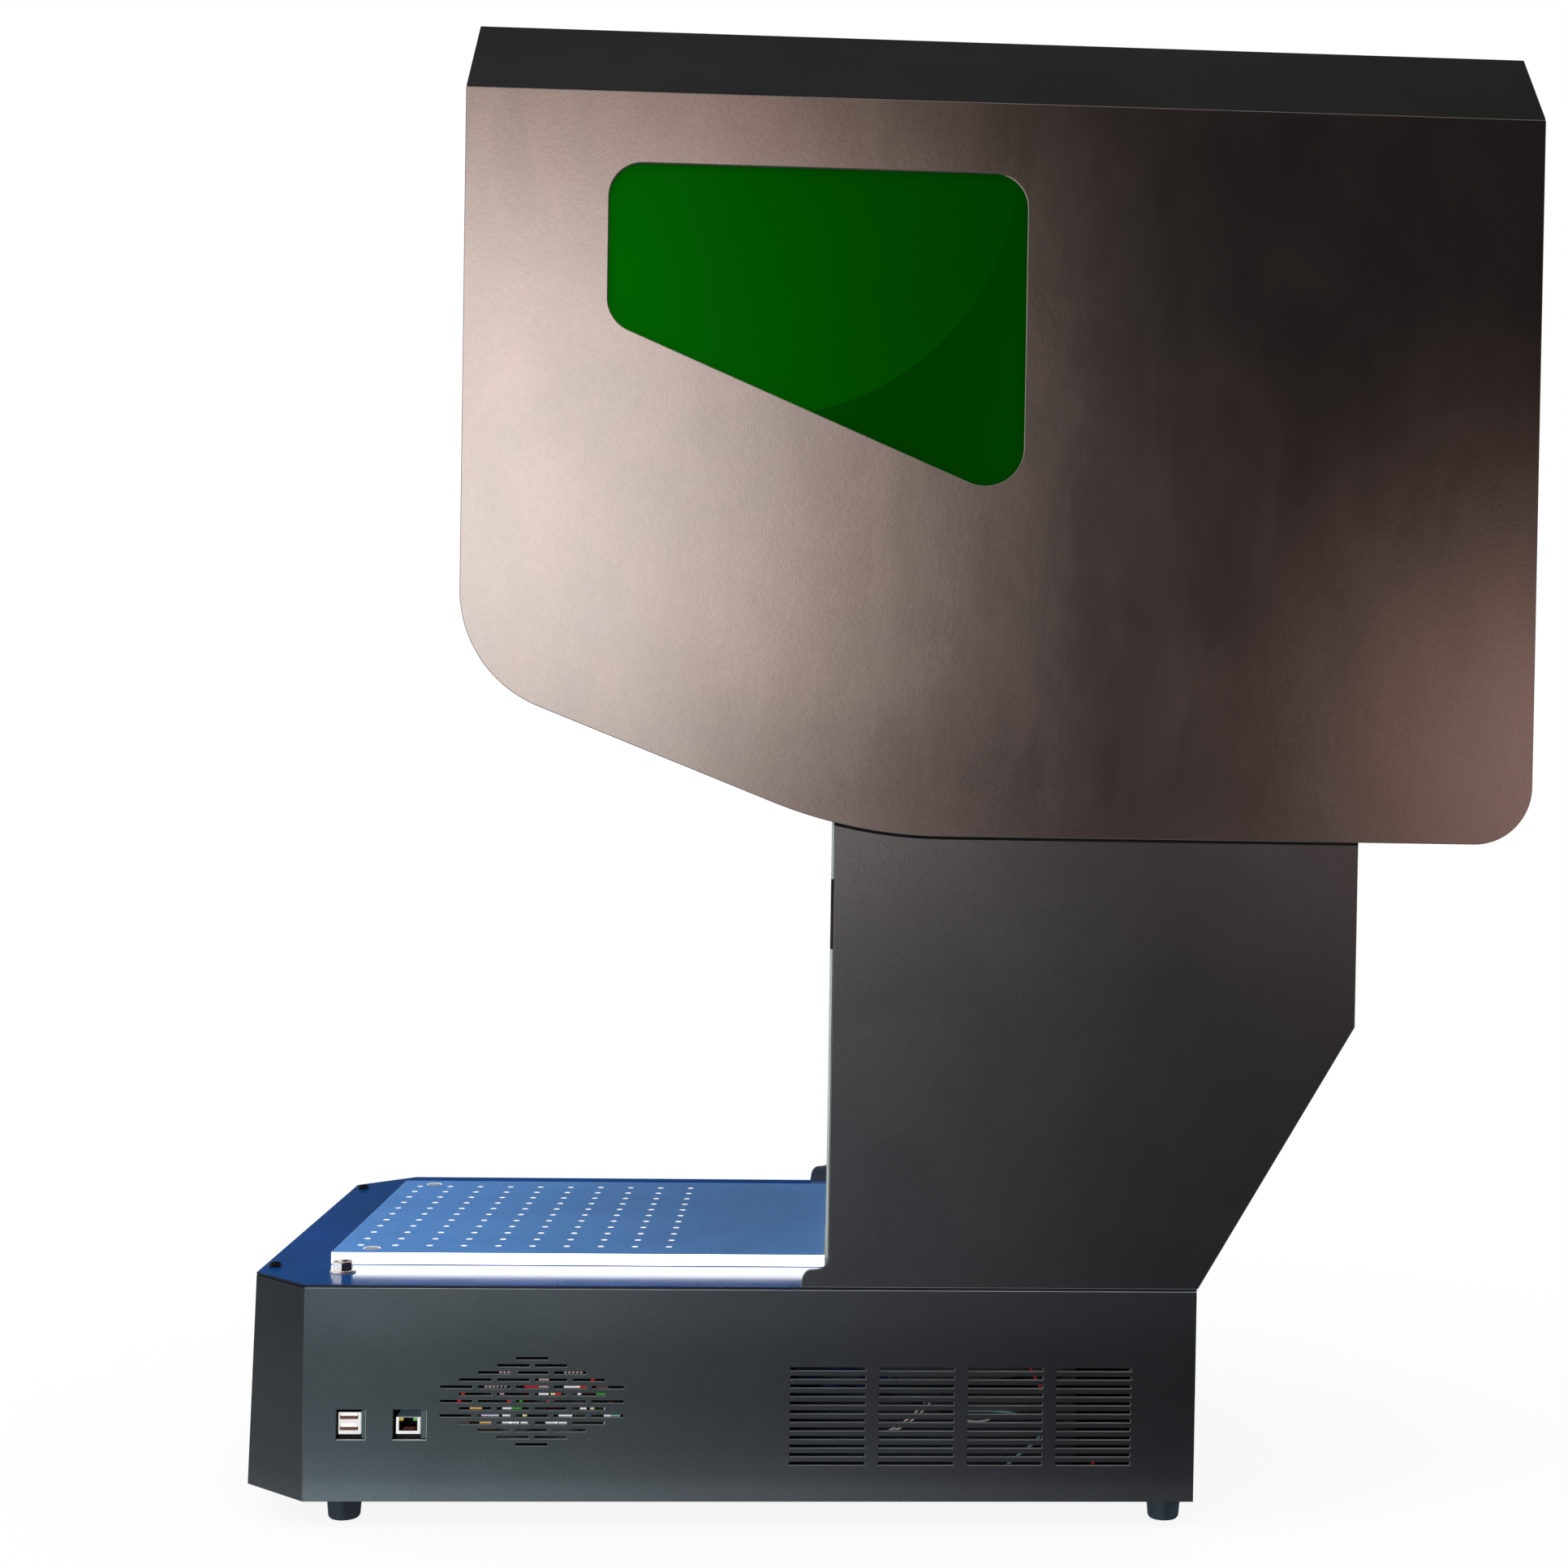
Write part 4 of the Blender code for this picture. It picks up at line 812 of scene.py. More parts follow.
# =============================================================== fasteners
for side in ("right", "left"):
    c, (lo, hi) = centre(f"top_screw_{side}"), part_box(f"top_screw_{side}")
    head = lathe(rounded_profile([(0, 2.3), (2.3, 2.15), (3.3, 1.3), (3.8, 0.1), (3.8, 0.0), (1.7, 0.0), (1.7, -8.0),
                                  (0, -8.0)], 0.35), 48)
    head = cut(head, prism(6, 1.25, 0.9, 4.0))
    smooth(head, 30)
    add(f"top_screw_{side}_head", at(head, (c.x, c.y, hi.z - 2.3 * MM)), "base", "black_screw",
        [f"top_screw_{side}"])
    c, (lo, hi) = centre(f"plate_screw_{side}"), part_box(f"plate_screw_{side}")
    head = lathe(rounded_profile([(0, 5.2), (4.05, 5.2), (4.2, 5.0), (4.2, 3.6), (2.6, 2.0), (2.6, 0.0), (0, 0.0)], 0.2), 48)
    head = cut(head, prism(6, 1.9, 3.4, 6.0))
    smooth(head, 30)
    add(f"plate_screw_{side}_head", at(head, (c.x, c.y, hi.z - 5.2 * MM)), "base", "bright_screw",
        [f"plate_screw_{side}"])


def chrome_material():
    """Bright plating with a painted reflection: each flat takes a tone by the way it faces, light to the front and dark
    to the rear, and glows with that tone.
    """
    m, t = new_mat("chrome")
    p = t.coords()
    n = t.node("ShaderNodeNewGeometry", None, None, 1)
    ny = t.node("ShaderNodeSeparateXYZ", None, {0: n}, 1)
    tone = t.ramp(t.remap(ny, -1, 1, 0, 1, False),
                  [(0.0, (0.35, 0.34, 0.33)), (0.22, (0.95, 0.95, 0.92)), (0.36, (0.95, 0.94, 0.90)), (0.46, (0.80, 0.70, 0.64)),
                   (0.54, (0.16, 0.10, 0.11)), (0.64, (0.020, 0.014, 0.020)), (0.88, (0.018, 0.022, 0.035)), (1.0, (0.2, 0.2, 0.2))])
    k = t.remap(t.noise(p, 420, 3, 0.6), 0.3, 0.7, 0.86, 1.06)
    t.surface(principled(t, t.scaled(tone, t.m("MULTIPLY", k, 0.6)), 0.2, 0.7,
                         extra={"Emission Color": t.scaled(tone, k), "Emission Strength": 0.62}))


chrome_material()


def earth_nut():
    lo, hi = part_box("earth_nut")
    c = centre("earth_nut")
    z0 = hi.z - 6.5 * MM
    body = prism(6, 6.1, 0.75, 5.9, math.radians(33))
    # both ends of the hexagon are turned to a cone
    bm = bmesh.new()
    bm.from_mesh(body)
    bmesh.ops.subdivide_edges(bm, edges=[e for e in bm.edges if abs(e.verts[0].co.z - e.verts[1].co.z) < 1e-6], cuts=5)
    for v in bm.verts:
        for end, s in ((5.9 * MM, -1), (0.75 * MM, 1)):
            if abs(v.co.z - end) < 1e-6 and v.co.xy.length > 4.0 * MM:
                v.co.z += s * max(0.0, v.co.xy.length - 5.3 * MM) * 0.75
    bm.to_mesh(body)
    bm.free()
    washer = lathe(rounded_profile([(3.1, 0.7), (7.15, 0.7), (7.3, 0.6), (7.3, 0.1), (7.15, 0.0), (3.1, 0.0)], 0.12), 64, False)
    prof = [(0, 6.5), (2.3, 6.5)]
    z = 6.2
    while z > -8.6:
        prof += [(2.9, z), (2.45, z - 0.4)]
        z -= 0.8
    prof += [(2.4, -9.0), (0, -9.0)]
    stud = lathe(prof, 40)
    me = join([body, washer, stud])
    add("earth_nut_body", at(me, (c.x, c.y, z0)), "base", "chrome", ["earth_nut"])


earth_nut()

# dark strip under the hood's lower edge, a painted shadow where the hood overhangs the column, one on each side
for side, s in (("right", 1), ("left", -1)):
    edge, _ = face_loops(f"hood_side_{side}", 0, s > 0)
    clo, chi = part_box(f"column_side_{side}")
    hlo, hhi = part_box(f"hood_side_{side}")
    ya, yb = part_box("column_front_upper")[1].y + 0.1 * MM, chi.y - 0.3 * MM
    line = []
    for k in range(73):
        y = ya + (yb - ya) * k / 72
        z = min(a[1] + (b[1] - a[1]) * (y - a[0]) / (b[0] - a[0]) for a, b in zip(edge, edge[1:] + edge[:1])
                if (a[0] - y) * (b[0] - y) <= 0 and abs(a[0] - b[0]) > 1e-9)
        line.append((y, z))
    x0, x1 = sorted((s * 178.2 * MM, s * 178.85 * MM))
    me = extruded([(y, z - 1.75 * MM) for y, z in line] + [(y, z + 2.0 * MM) for y, z in reversed(line)], [], x0, x1, 0,
                  0.08 * MM, 1)
    add(f"hood_shadow_strip_{side}", me, "head", "seal_black")

# rivets that hold the hood's rear panel, one on each side, flush in the side plate
for side, s in (("right", 1), ("left", -1)):
    lo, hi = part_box(f"hood_side_{side}")
    face = hi.x if s > 0 else lo.x
    me = lathe(rounded_profile([(0, 0.0), (1.9, -0.02), (2.25, -0.25), (2.25, -1.2), (0, -1.2)], 0.2), 40)
    rot = (0, math.radians(90) * s, 0)
    y, z = hi.y - 8.4 * MM, lo.z + 162.4 * MM
    me = at(me, (face - s * 0.02 * MM, y, z), rot)
    add(f"hood_rivet_{side}", me, "head", "hood_edge")

# =============================================================== feet
for n in ("foot_front_right", "foot_front_left", "foot_rear_right", "foot_rear_left"):
    c, (lo, hi) = centre(n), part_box(n)
    me = lathe(rounded_profile([(0, 16.2), (9.8, 16.2), (10.0, 16.0), (10.0, 15.0), (8.9, 1.4), (7.8, 0.0),
                                (5.2, 0.0), (5.0, 1.8), (0, 1.8)], 0.5, 4), 64)
    add(n + "_pad", at(me, (c.x, c.y, lo.z)), "base", "rubber", [n])

# =============================================================== data ports
def usb():
    """Two stacked sockets in a tin shell on a dark carrier."""
    lo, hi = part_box("usb_port")
    f = hi.x                                   # front face
    y0, y1 = lo.y + 0.4 * MM, lo.y + 12.8 * MM
    z0, z1 = lo.z + 2.8 * MM, lo.z + 15.1 * MM
    shell = soft_box(lo.x, f, y0, y1, z0, z1, 0.3 * MM)
    cells = [(z0 + 1.8 * MM, z0 + 6.9 * MM), (z0 + 8.0 * MM, z0 + 11.9 * MM)]
    shell = cut(shell, *[soft_box(f - 9 * MM, f + 3 * MM, y0 + 0.45 * MM, y1 - 1.5 * MM, a, b, 0.2 * MM) for a, b in cells])
    ob = add("usb_port_shell", smooth(shell, 30), "base", ["port_tin", "socket_black"], ["usb_port"])
    # the shell's top behind its front edge takes the black, as painted shade under the panel's edge
    for p in ob.data.polygons:
        if p.normal.z > 0.5 and p.center.z > z1 - 0.3 * MM and p.center.x < f - 0.2 * MM:
            p.material_index = 1
    add("usb_carrier", soft_box(lo.x, f - 2.6 * MM, y0 + 0.2 * MM, y1 - 0.2 * MM, lo.z, z0 - 0.05 * MM, 0.2 * MM), "base", "socket_black")
    add("usb_bracket", soft_box(f - 3.2 * MM, f - 0.4 * MM, y1 + 0.3 * MM, hi.y + 1.6 * MM, lo.z + 0.5 * MM, hi.z, 0.2 * MM), "base",
        "port_slate")
    for k, (a, b) in enumerate(cells):
        tongue = soft_box(f - 9 * MM, f - 0.3 * MM, y0 + 1.0 * MM, y1 - 2.0 * MM, a + 2.2 * MM, b - (0.75 - 0.6 * k) * MM, 0.2 * MM)
        add(f"usb_tongue_{k}", tongue, "base", "port_pale")
        back = soft_box(f - 9 * MM, f - 2.2 * MM, y0 + 0.5 * MM, y1 - 1.55 * MM, a + 0.05 * MM, a + 2.1 * MM, 0.1 * MM)
        add(f"usb_back_{k}", back, "base", "port_rust")
        pins = [soft_box(f - 2.1 * MM, f - 1.0 * MM, y, y + 1.0 * MM, a + 1.85 * MM, a + 2.15 * MM, 0.05 * MM)
                for y in (y0 + (1.9 + 2.2 * i) * MM for i in range(4))]
        add(f"usb_contacts_{k}", join(pins), "base", "port_pins")


usb()


def lan():
    """Network socket: tin frame, stepped black opening, two status lights."""
    lo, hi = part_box("lan_port")
    f = hi.x
    y0, y1, z0, z1 = lo.y + 1.4 * MM, lo.y + 14.7 * MM, lo.z + 3.0 * MM, lo.z + 12.5 * MM
    shell = soft_box(lo.x, f, y0, y1, z0, z1, 0.25 * MM)
    shell = cut(shell, soft_box(f - 13 * MM, f + 3 * MM, y0 + 1.5 * MM, y1 - 1.5 * MM, z0 + 1.7 * MM, z1 - 0.15 * MM, 0.1 * MM))
    ob = add("lan_port_shell", smooth(shell, 30), "base", ["port_tin", "port_slate"], ["lan_port"])
    # the shell's top behind its front edge takes the glowing slate, painted light as on the bracket
    for p in ob.data.polygons:
        if p.normal.z > 0.5 and p.center.z > z1 - 0.3 * MM and p.center.x < f - 0.2 * MM:
            p.material_index = 1
    add("lan_carrier", soft_box(lo.x, f - 2.6 * MM, y0 + 0.2 * MM, y1 - 0.2 * MM, lo.z, z0 - 0.05 * MM, 0.2 * MM), "base", "socket_black")
    add("lan_bracket", soft_box(f - 3.2 * MM, f - 0.4 * MM, y1 + 0.3 * MM, hi.y + 1.6 * MM, lo.z + 0.5 * MM, hi.z, 0.2 * MM), "base",
        "port_slate")
    a, b = y0 + 1.55 * MM, y1 - 1.55 * MM
    c, d = z0 + 1.75 * MM, z1 - 0.2 * MM
    body = soft_box(f - 12.9 * MM, f - 0.3 * MM, a, b, c, d, 0.1 * MM)
    w = b - a
    body = cut(body,
               soft_box(f - 11 * MM, f + 2 * MM, a + 0.5 * MM, b - 0.5 * MM, c + 0.4 * MM, d - 2.6 * MM, 0.1 * MM),
               soft_box(f - 11 * MM, f + 2 * MM, a + w * 0.25, b - w * 0.25, d - 2.9 * MM, d - 0.6 * MM, 0.1 * MM))
    add("lan_port_socket", body, "base", "socket_black")
    pins = [soft_box(f - 6 * MM, f - 0.8 * MM, y, y + 0.5 * MM, c + 0.45 * MM, c + 0.85 * MM, 0.05 * MM)
            for y in (a + (2.2 + 0.95 * i) * MM for i in range(7))]
    add("lan_contacts", join(pins), "base", "port_rust")
    for nm, p, q, mt in (("left", a + 0.1 * MM, a + 2.5 * MM, "port_yellow"), ("right", b - 2.3 * MM, b - 0.1 * MM, "port_green")):
        add(f"lan_light_{nm}", soft_box(f - 3 * MM, f - 0.1 * MM, p, q, d - 1.75 * MM, d - 0.15 * MM, 0.15 * MM), "base", mt)


lan()

# =============================================================== electronics seen through the vents
blo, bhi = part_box("mainboard")
TOP = bhi.z
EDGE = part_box("base_side_right")[1].x


VENT_Z, PITCH = 0.0562, 0.00403              # middle row of the diamond and the row pitch, above the base
EYE = Vector((1.557, 0.007, 0.4166))         # the parts show through the slots from this side


def part(k, y0, y1, top, bottom, mt):
    """A component that stands on the board just where it fills rows top..bottom of the diamond, y in mm."""
    z0 = VENT_Z + (6 - bottom) * PITCH - 0.0019
    z1 = VENT_Z + (6 - top) * PITCH + 0.0019
    board = TOP - 0.016
    run = EYE.x - EDGE
    d = (z0 - board) * run / (EYE.z - z0)
    s = 1 + d / run
    ya, yb = (EYE.y + (y * MM - EYE.y) * s - 0.0225 for y in (y0, y1))
    me = soft_box(EDGE - d - 0.006, EDGE - d, ya, yb, TOP, TOP + (z1 - z0) * s, 0.25 * MM, 1)
    return add(f"board_part_{k:02d}", me, "base", mt)


PARTS = [
    (-198.0, -192.0, 7, 7, "part_tan"), (-180.0, -175.8, 7, 9, "part_white"), (-175.2, -170.0, 7, 7, "part_green"),
    (-175.0, -171.4, 9, 9, "part_white"), (-169.8, -166.6, 9, 9, "part_white"), (-168.8, -167.0, 8, 8, "part_cream"),
    (-156.0, -150.0, 9, 9, "part_white"), (-148.8, -141.8, 8, 9, "part_white"), (-191.6, -182.5, 8, 8, "part_lilac"),
    (-192.5, -185.0, 9, 9, "part_tan"), (-123.6, -120.4, 7, 9, "part_white"), (-119.8, -115.0, 8, 8, "part_teal"),
    (-137.0, -134.0, 7, 7, "part_white"), (-131.4, -129.6, 7, 7, "part_cream"), (-154.6, -152.9, 8, 8, "part_teal"),
    (-177.6, -173.8, 6, 6, "part_red"), (-170.6, -169.6, 6, 6, "part_green"), (-155.4, -153.0, 6, 6, "part_red"),
    (-128.0, -123.2, 5, 6, "part_green"), (-122.6, -120.0, 5, 6, "part_red"), (-203.0, -201.6, 5, 5, "part_red"),
    (-205.0, -203.6, 6, 6, "part_red"), (-160.0, -155.2, 5, 5, "part_white"), (-153.4, -151.0, 5, 5, "part_cream"),
    (-150.9, -148.2, 5, 5, "part_red"), (-146.0, -137.6, 4, 4, "part_white"), (-137.2, -131.2, 4, 4, "part_red"),
    (-160.0, -155.0, 3, 4, "part_rose"), (-138.4, -137.0, 5, 5, "part_white"), (-181.5, -179.8, 5, 5, "part_rose"),
    (-128.0, -122.0, 4, 4, "part_dusk"), (-206.0, -199.0, 9, 9, "part_dusk"), (-131.2, -129.6, 3, 3, "part_red"), (-167.8, -161.0, 4, 4, "part_red"),
]
for k, row in enumerate(PARTS):
    part(k, *row)
for k, (ya, yb) in enumerate([(-140.0, -128.0), (-190.0, -176.0), (-182.0, -170.0), (-146.0, -133.0)]):
    top = (8, 4, 2, 2)[k]
    for j in range(int((yb - ya) / 2.2)):
        part(60 + 10 * k + j, ya + 2.2 * j, ya + 2.2 * j + 0.8, top, top, "gold_pin" if k == 0 else "part_rose")
for k, (x0, x1, y0, y1, h) in enumerate([(60, 80, -272, -250, 2.2), (96, 112, -240, -224, 1.6), (52, 70, -200, -182, 2.0),
                                         (50, 62, -120, -104, 1.6)]):
    me = soft_box(x0 * MM, x1 * MM, (y0 - 22.5) * MM, (y1 - 22.5) * MM, TOP, TOP + h * MM, 0.2 * MM, 1)
    add(f"board_chip_{k}", me, "base", "chip")


def P(x, y, z):
    return (x * MM, (y - 22.5) * MM, (z + 16) * MM)


# wiring, bowed towards the vents and back into the housing
for name, pts, r, mt in (
        ("motor_a", [(140, -150, 42), (150, -130, 50), (152, -60, 58), (140, 0, 64), (150, 80, 40)], 1.1, "black"),
        ("motor_b", [(140, -30, 78), (154, -8, 72), (157, 10, 70), (140, 34, 60)], 2.4, "blue"),
        ("motor_c", [(120, -20, 66), (154, -6, 57.5), (156, 12, 56), (120, 30, 52)], 1.6, "blue"),
        ("pale_a", [(110, 28, 20), (156, 34.5, 33), (160, 43.5, 39), (154, 51.5, 44), (110, 58, 38)], 0.5, "pale"),
        ("pale_b", [(110, 31, 20), (156, 37.9, 33), (160, 46.9, 39), (154, 54.9, 44), (110, 61, 38)], 0.45, "pale"),
        ("pale_c", [(140, 76, 38), (160, 81, 40.2), (161, 90, 40.2), (120, 97, 32)], 0.4, "pale"),
        ("teal_a", [(130, 76, 39.0), (150, 88, 44.6), (160, 99, 47.0), (160, 105, 45.9), (160, 111, 44.5), (160, 117, 43.4), (160, 124, 43.3), (140, 132, 38)], 0.75, "teal"),
        ("teal_b", [(120, 104, 2), (158, 108, 18.5), (160, 112.5, 23.5), (160, 118, 27), (156, 124, 32), (120, 130, 30)], 0.8, "teal"),
        ("red_a", [(120, 116, 70), (158, 119, 66), (160, 121.5, 62.5), (158, 124, 58), (120, 128, 48)], 0.9, "red"),
        ("red_b", [(82, -182, 37), (86, -178, 39.5), (90, -171, 41.5), (84, -160, 38)], 0.9, "red"),
        ("red_c", [(150, 151.5, -4), (158, 152.8, 12), (159.4, 153.3, 23.4), (158, 154.2, 12), (150, 156, -4)], 0.7, "red"),
        ("black_a", [(60, -66, 40), (120, -40, 52), (140, 20, 58), (120, 90, 50), (112, 170, 60)], 1.8, "black")):
    tube("wire_" + name, [P(*q) for q in pts], r * MM, "wire_" + mt, "base")

# =============================================================== front controls
face = centre("estop_housing")
lean = math.atan2(3.7, 121.0)
ROT = (math.pi / 2 - lean, 0, 0)


def facing(node, out_mm, radius):
    """Origin on the front panel for a control, at the node's x and a fixed height. out_mm and radius are not used."""
    lo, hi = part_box(node)
    n = Vector((0, -math.cos(lean), math.sin(lean)))
    u = Vector((0, math.sin(lean), math.cos(lean)))
    c = centre(node)
    zc = None
    base_lo, base_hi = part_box("base_front_panel")
    zc = 0.016 + 0.064
    yc = base_lo.y + 0.0037 * 0.064 / 0.121
    return Vector((c.x, yc, zc))


o = facing("estop_housing", 6, 20)
me = lathe(rounded_profile([(5.6, 6.0), (16.5, 6.0), (20.0, 4.0), (20.0, 0.6), (10.9, 0.6), (10.9, -30.0),
                            (5.6, -30.0)], 0.8, 4), 72, False)
add("estop_housing_ring", at(me, o, ROT), "base", "yellow_plastic", ["estop_housing"])
me = lathe(rounded_profile([(0, 24.0), (9.0, 23.2), (13.8, 20.5), (15.0, 17.0), (14.0, 11.5), (5.0, 11.5),
                            (5.0, -24.0), (0, -24.0)], 1.6, 5), 72)
# twelve shallow grooves round the mushroom
for v in me.vertices:
    r = v.co.xy.length
    if r > 8 * MM and v.co.z > 11.2 * MM:
        a = math.atan2(v.co.y, v.co.x)
        k = 1 - 0.035 * (0.5 + 0.5 * math.cos(12 * a)) * min(1.0, (r / MM - 8) / 5)
        v.co.x *= k
        v.co.y *= k
add("estop_mushroom", at(me, o, ROT), "estop", "red_plastic", ["estop_button"])
o = facing("start_button", 4.2, 7)
me = lathe(rounded_profile([(0, 3.7), (3.0, 3.9), (5.6, 4.2), (7.3, 3.2), (7.3, -2.9), (9.4, -2.9), (9.4, -6.0), (5.0, -6.0),
                            (5.0, -14.0), (0, -14.0)], 0.6, 4), 64)
add("start_cap", at(me, o, ROT), "start", "green_plastic", ["start_button"])

# =============================================================== rear: inlet, switch, fan
refined("power_inlet", 0.6 * MM, ["black_plastic"])
refined("power_rocker", 0.5 * MM, ["black_plastic"])
lo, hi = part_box("power_inlet")
cx, cz = lo.x + 20 * MM, (lo.z + hi.z) / 2
for k, (dx, dz) in enumerate(((-7.0, -2.0), (7.0, -2.0), (0.0, 2.0))):
    me = soft_box(cx + (dx - 1.0) * MM, cx + (dx + 1.0) * MM, lo.y + 4 * MM, hi.y - 3.4 * MM, cz + (dz - 2.0) * MM,
                  cz + (dz + 2.0) * MM, 0.3 * MM)
    add(f"inlet_pin_{k}", me, "base", "nickel")
refined("fan_frame", 0.5 * MM, ["black_plastic"])


def rotor():
    lo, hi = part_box("fan_rotor")
    c = centre("fan_rotor")
    r = (hi.x - lo.x) / 2
    hub = lathe(rounded_profile([(0, 8.3), (15.2, 8.3), (16.2, 7.0), (16.2, -8.3), (0, -8.3)], 1.0, 4), 64)
    parts = [hub]
    for i in range(7):
        bm = bmesh.new()
        rows = []
        for s in range(9):
            f = s / 8
            rad = 15.6 * MM + (r - 15.8 * MM) * f
            row = []
            half = 0.34 - 0.10 * f
            pitch = 7.4 - 1.6 * f
            for q in range(8):
                g = q / 7 * 2 - 1
                a = 2 * math.pi * i / 7 + g * half + 0.25 * f
                z = g * pitch * MM + 1.2 * MM * (1 - g * g)
                row.append(bm.verts.new((rad * math.cos(a), rad * math.sin(a), z)))
            rows.append(row)
        for a, b in zip(rows, rows[1:]):
            for q in range(7):
                bm.faces.new((a[q], a[q + 1], b[q + 1], b[q]))
        me = bpy.data.meshes.new("blade")
        bm.to_mesh(me)
        bm.free()
        ob = bpy.data.objects.new("blade", me)
        bpy.context.scene.collection.objects.link(ob)
        m = ob.modifiers.new("t", "SOLIDIFY")
        m.thickness = 1.1 * MM
        m.offset = 0
        parts.append(tidy(mesh_of(ob)))
    me = join(parts)
    smooth(me, 40)
    me.transform(Matrix.Diagonal((1, 1, 1, 1)))
    at(me, c, (math.pi / 2, 0, 0))
    add("fan_rotor_blades", me, "exhaust_fan", "black_plastic", ["fan_rotor"])


rotor()

# =============================================================== scan lens and head
c, (lo, hi) = centre("lens_barrel"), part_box("lens_barrel")
prof = [(30.2, 38.7), (44.6, 38.7), (45.0, 38.3), (45.0, 30.4), (44.4, 30.0), (38.6, 28.4), (38.0, 27.8)]
for i in range(5):
    z = 24.0 - 3.2 * i
    prof += [(38.0, z), (37.2, z - 0.4), (37.2, z - 1.2), (38.0, z - 1.6)]
prof += [(38.0, 1.4), (36.6, 0.0), (27.4, 0.0), (27.0, 0.4), (27.0, 3.5), (30.2, 3.5)]
me = lathe(prof, 96, False)
add("lens_barrel_body", at(me, (c.x, c.y, lo.z)), BODY["lens_barrel"], "anodised_black", ["lens_barrel"])
c, (lo, hi) = centre("lens_glass"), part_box("lens_glass")
prof = [(0, 14.0)] + [(29.6 * math.sin(math.radians(90) * i / 10), 7.0 + 7.0 * math.cos(math.radians(90) * i / 10)) for i in range(1, 11)]
prof += [(29.6, 1.0)] + [(29.6 * math.cos(math.radians(90) * i / 8), 1.0 - 1.0 * math.sin(math.radians(90) * i / 8)) for i in range(1, 8)] + [(0, 0.0)]
me = lathe(prof, 96)
add("lens_front_element", at(me, (c.x, c.y, lo.z)), BODY["lens_glass"], "lens_glass", ["lens_glass"])


# =============================================================== materials of the nodes that stay as they are
KEEP = {
    "mainboard": "board", "power_supply": "aluminium", "mast_plate": "aluminium", "rail_right": "steel",
    "rail_left": "steel", "lift_motor": "black_plastic", "shaft_coupling": "aluminium",
    "screw_bearing_lower": "steel", "screw_bearing_upper": "steel", "ball_screw": "steel",
    "carriage_plate": "aluminium", "ball_nut": "steel", "rail_block_right": "steel", "rail_block_left": "steel",
    "head_arm": "aluminium", "galvo_housing": "anodised_black", "beam_collimator": "aluminium",
    "galvo_mirror_x": "mirror", "galvo_mirror_y": "mirror", "laser_source": "aluminium",
}
for n, mt in KEEP.items():
    o = frame["nodes"][n]
    o.data.materials.clear()
    o.data.materials.append(MATS[mt])
    w = o.modifiers.new("weld", "WELD")
    w.merge_threshold = 0.000002
    b = o.modifiers.new("edges", "BEVEL")
    b.width = 0.0005
    b.segments = 2
    b.limit_method = "ANGLE"
    b.angle_limit = math.radians(50)
    b.use_clamp_overlap = True


# =============================================================== floor, light, camera
def floor():
    bpy.ops.mesh.primitive_plane_add(size=30, location=(0, 0, -0.0002))
    ob = bpy.context.active_object
    ob.name = "studio_floor"
    m, t = new_mat("studio_floor")
    p = t.coords()
    xyz = t.node("ShaderNodeSeparateXYZ", None, {0: p}, None)
    r = t.node("ShaderNodeVectorMath", {"operation": "LENGTH"}, {0: p}, 1)
    n = t.noise(p, 3, 3, 0.5)
    d = t.node("ShaderNodeBsdfDiffuse", None, {"Color": t.scaled((0.93, 0.93, 0.93), t.remap(n, 0.3, 0.7, 0.99, 1.01))})
    e = t.node("ShaderNodeEmission", None, {"Color": (1, 1, 1, 1), "Strength": 1.0})
    t.surface(t.node("ShaderNodeMixShader", None, {0: t.remap(r, 0.30, 1.0, 0.90, 1), 1: d, 2: e}))
    ob.data.materials.append(m)
    ob.visible_glossy = False


floor()


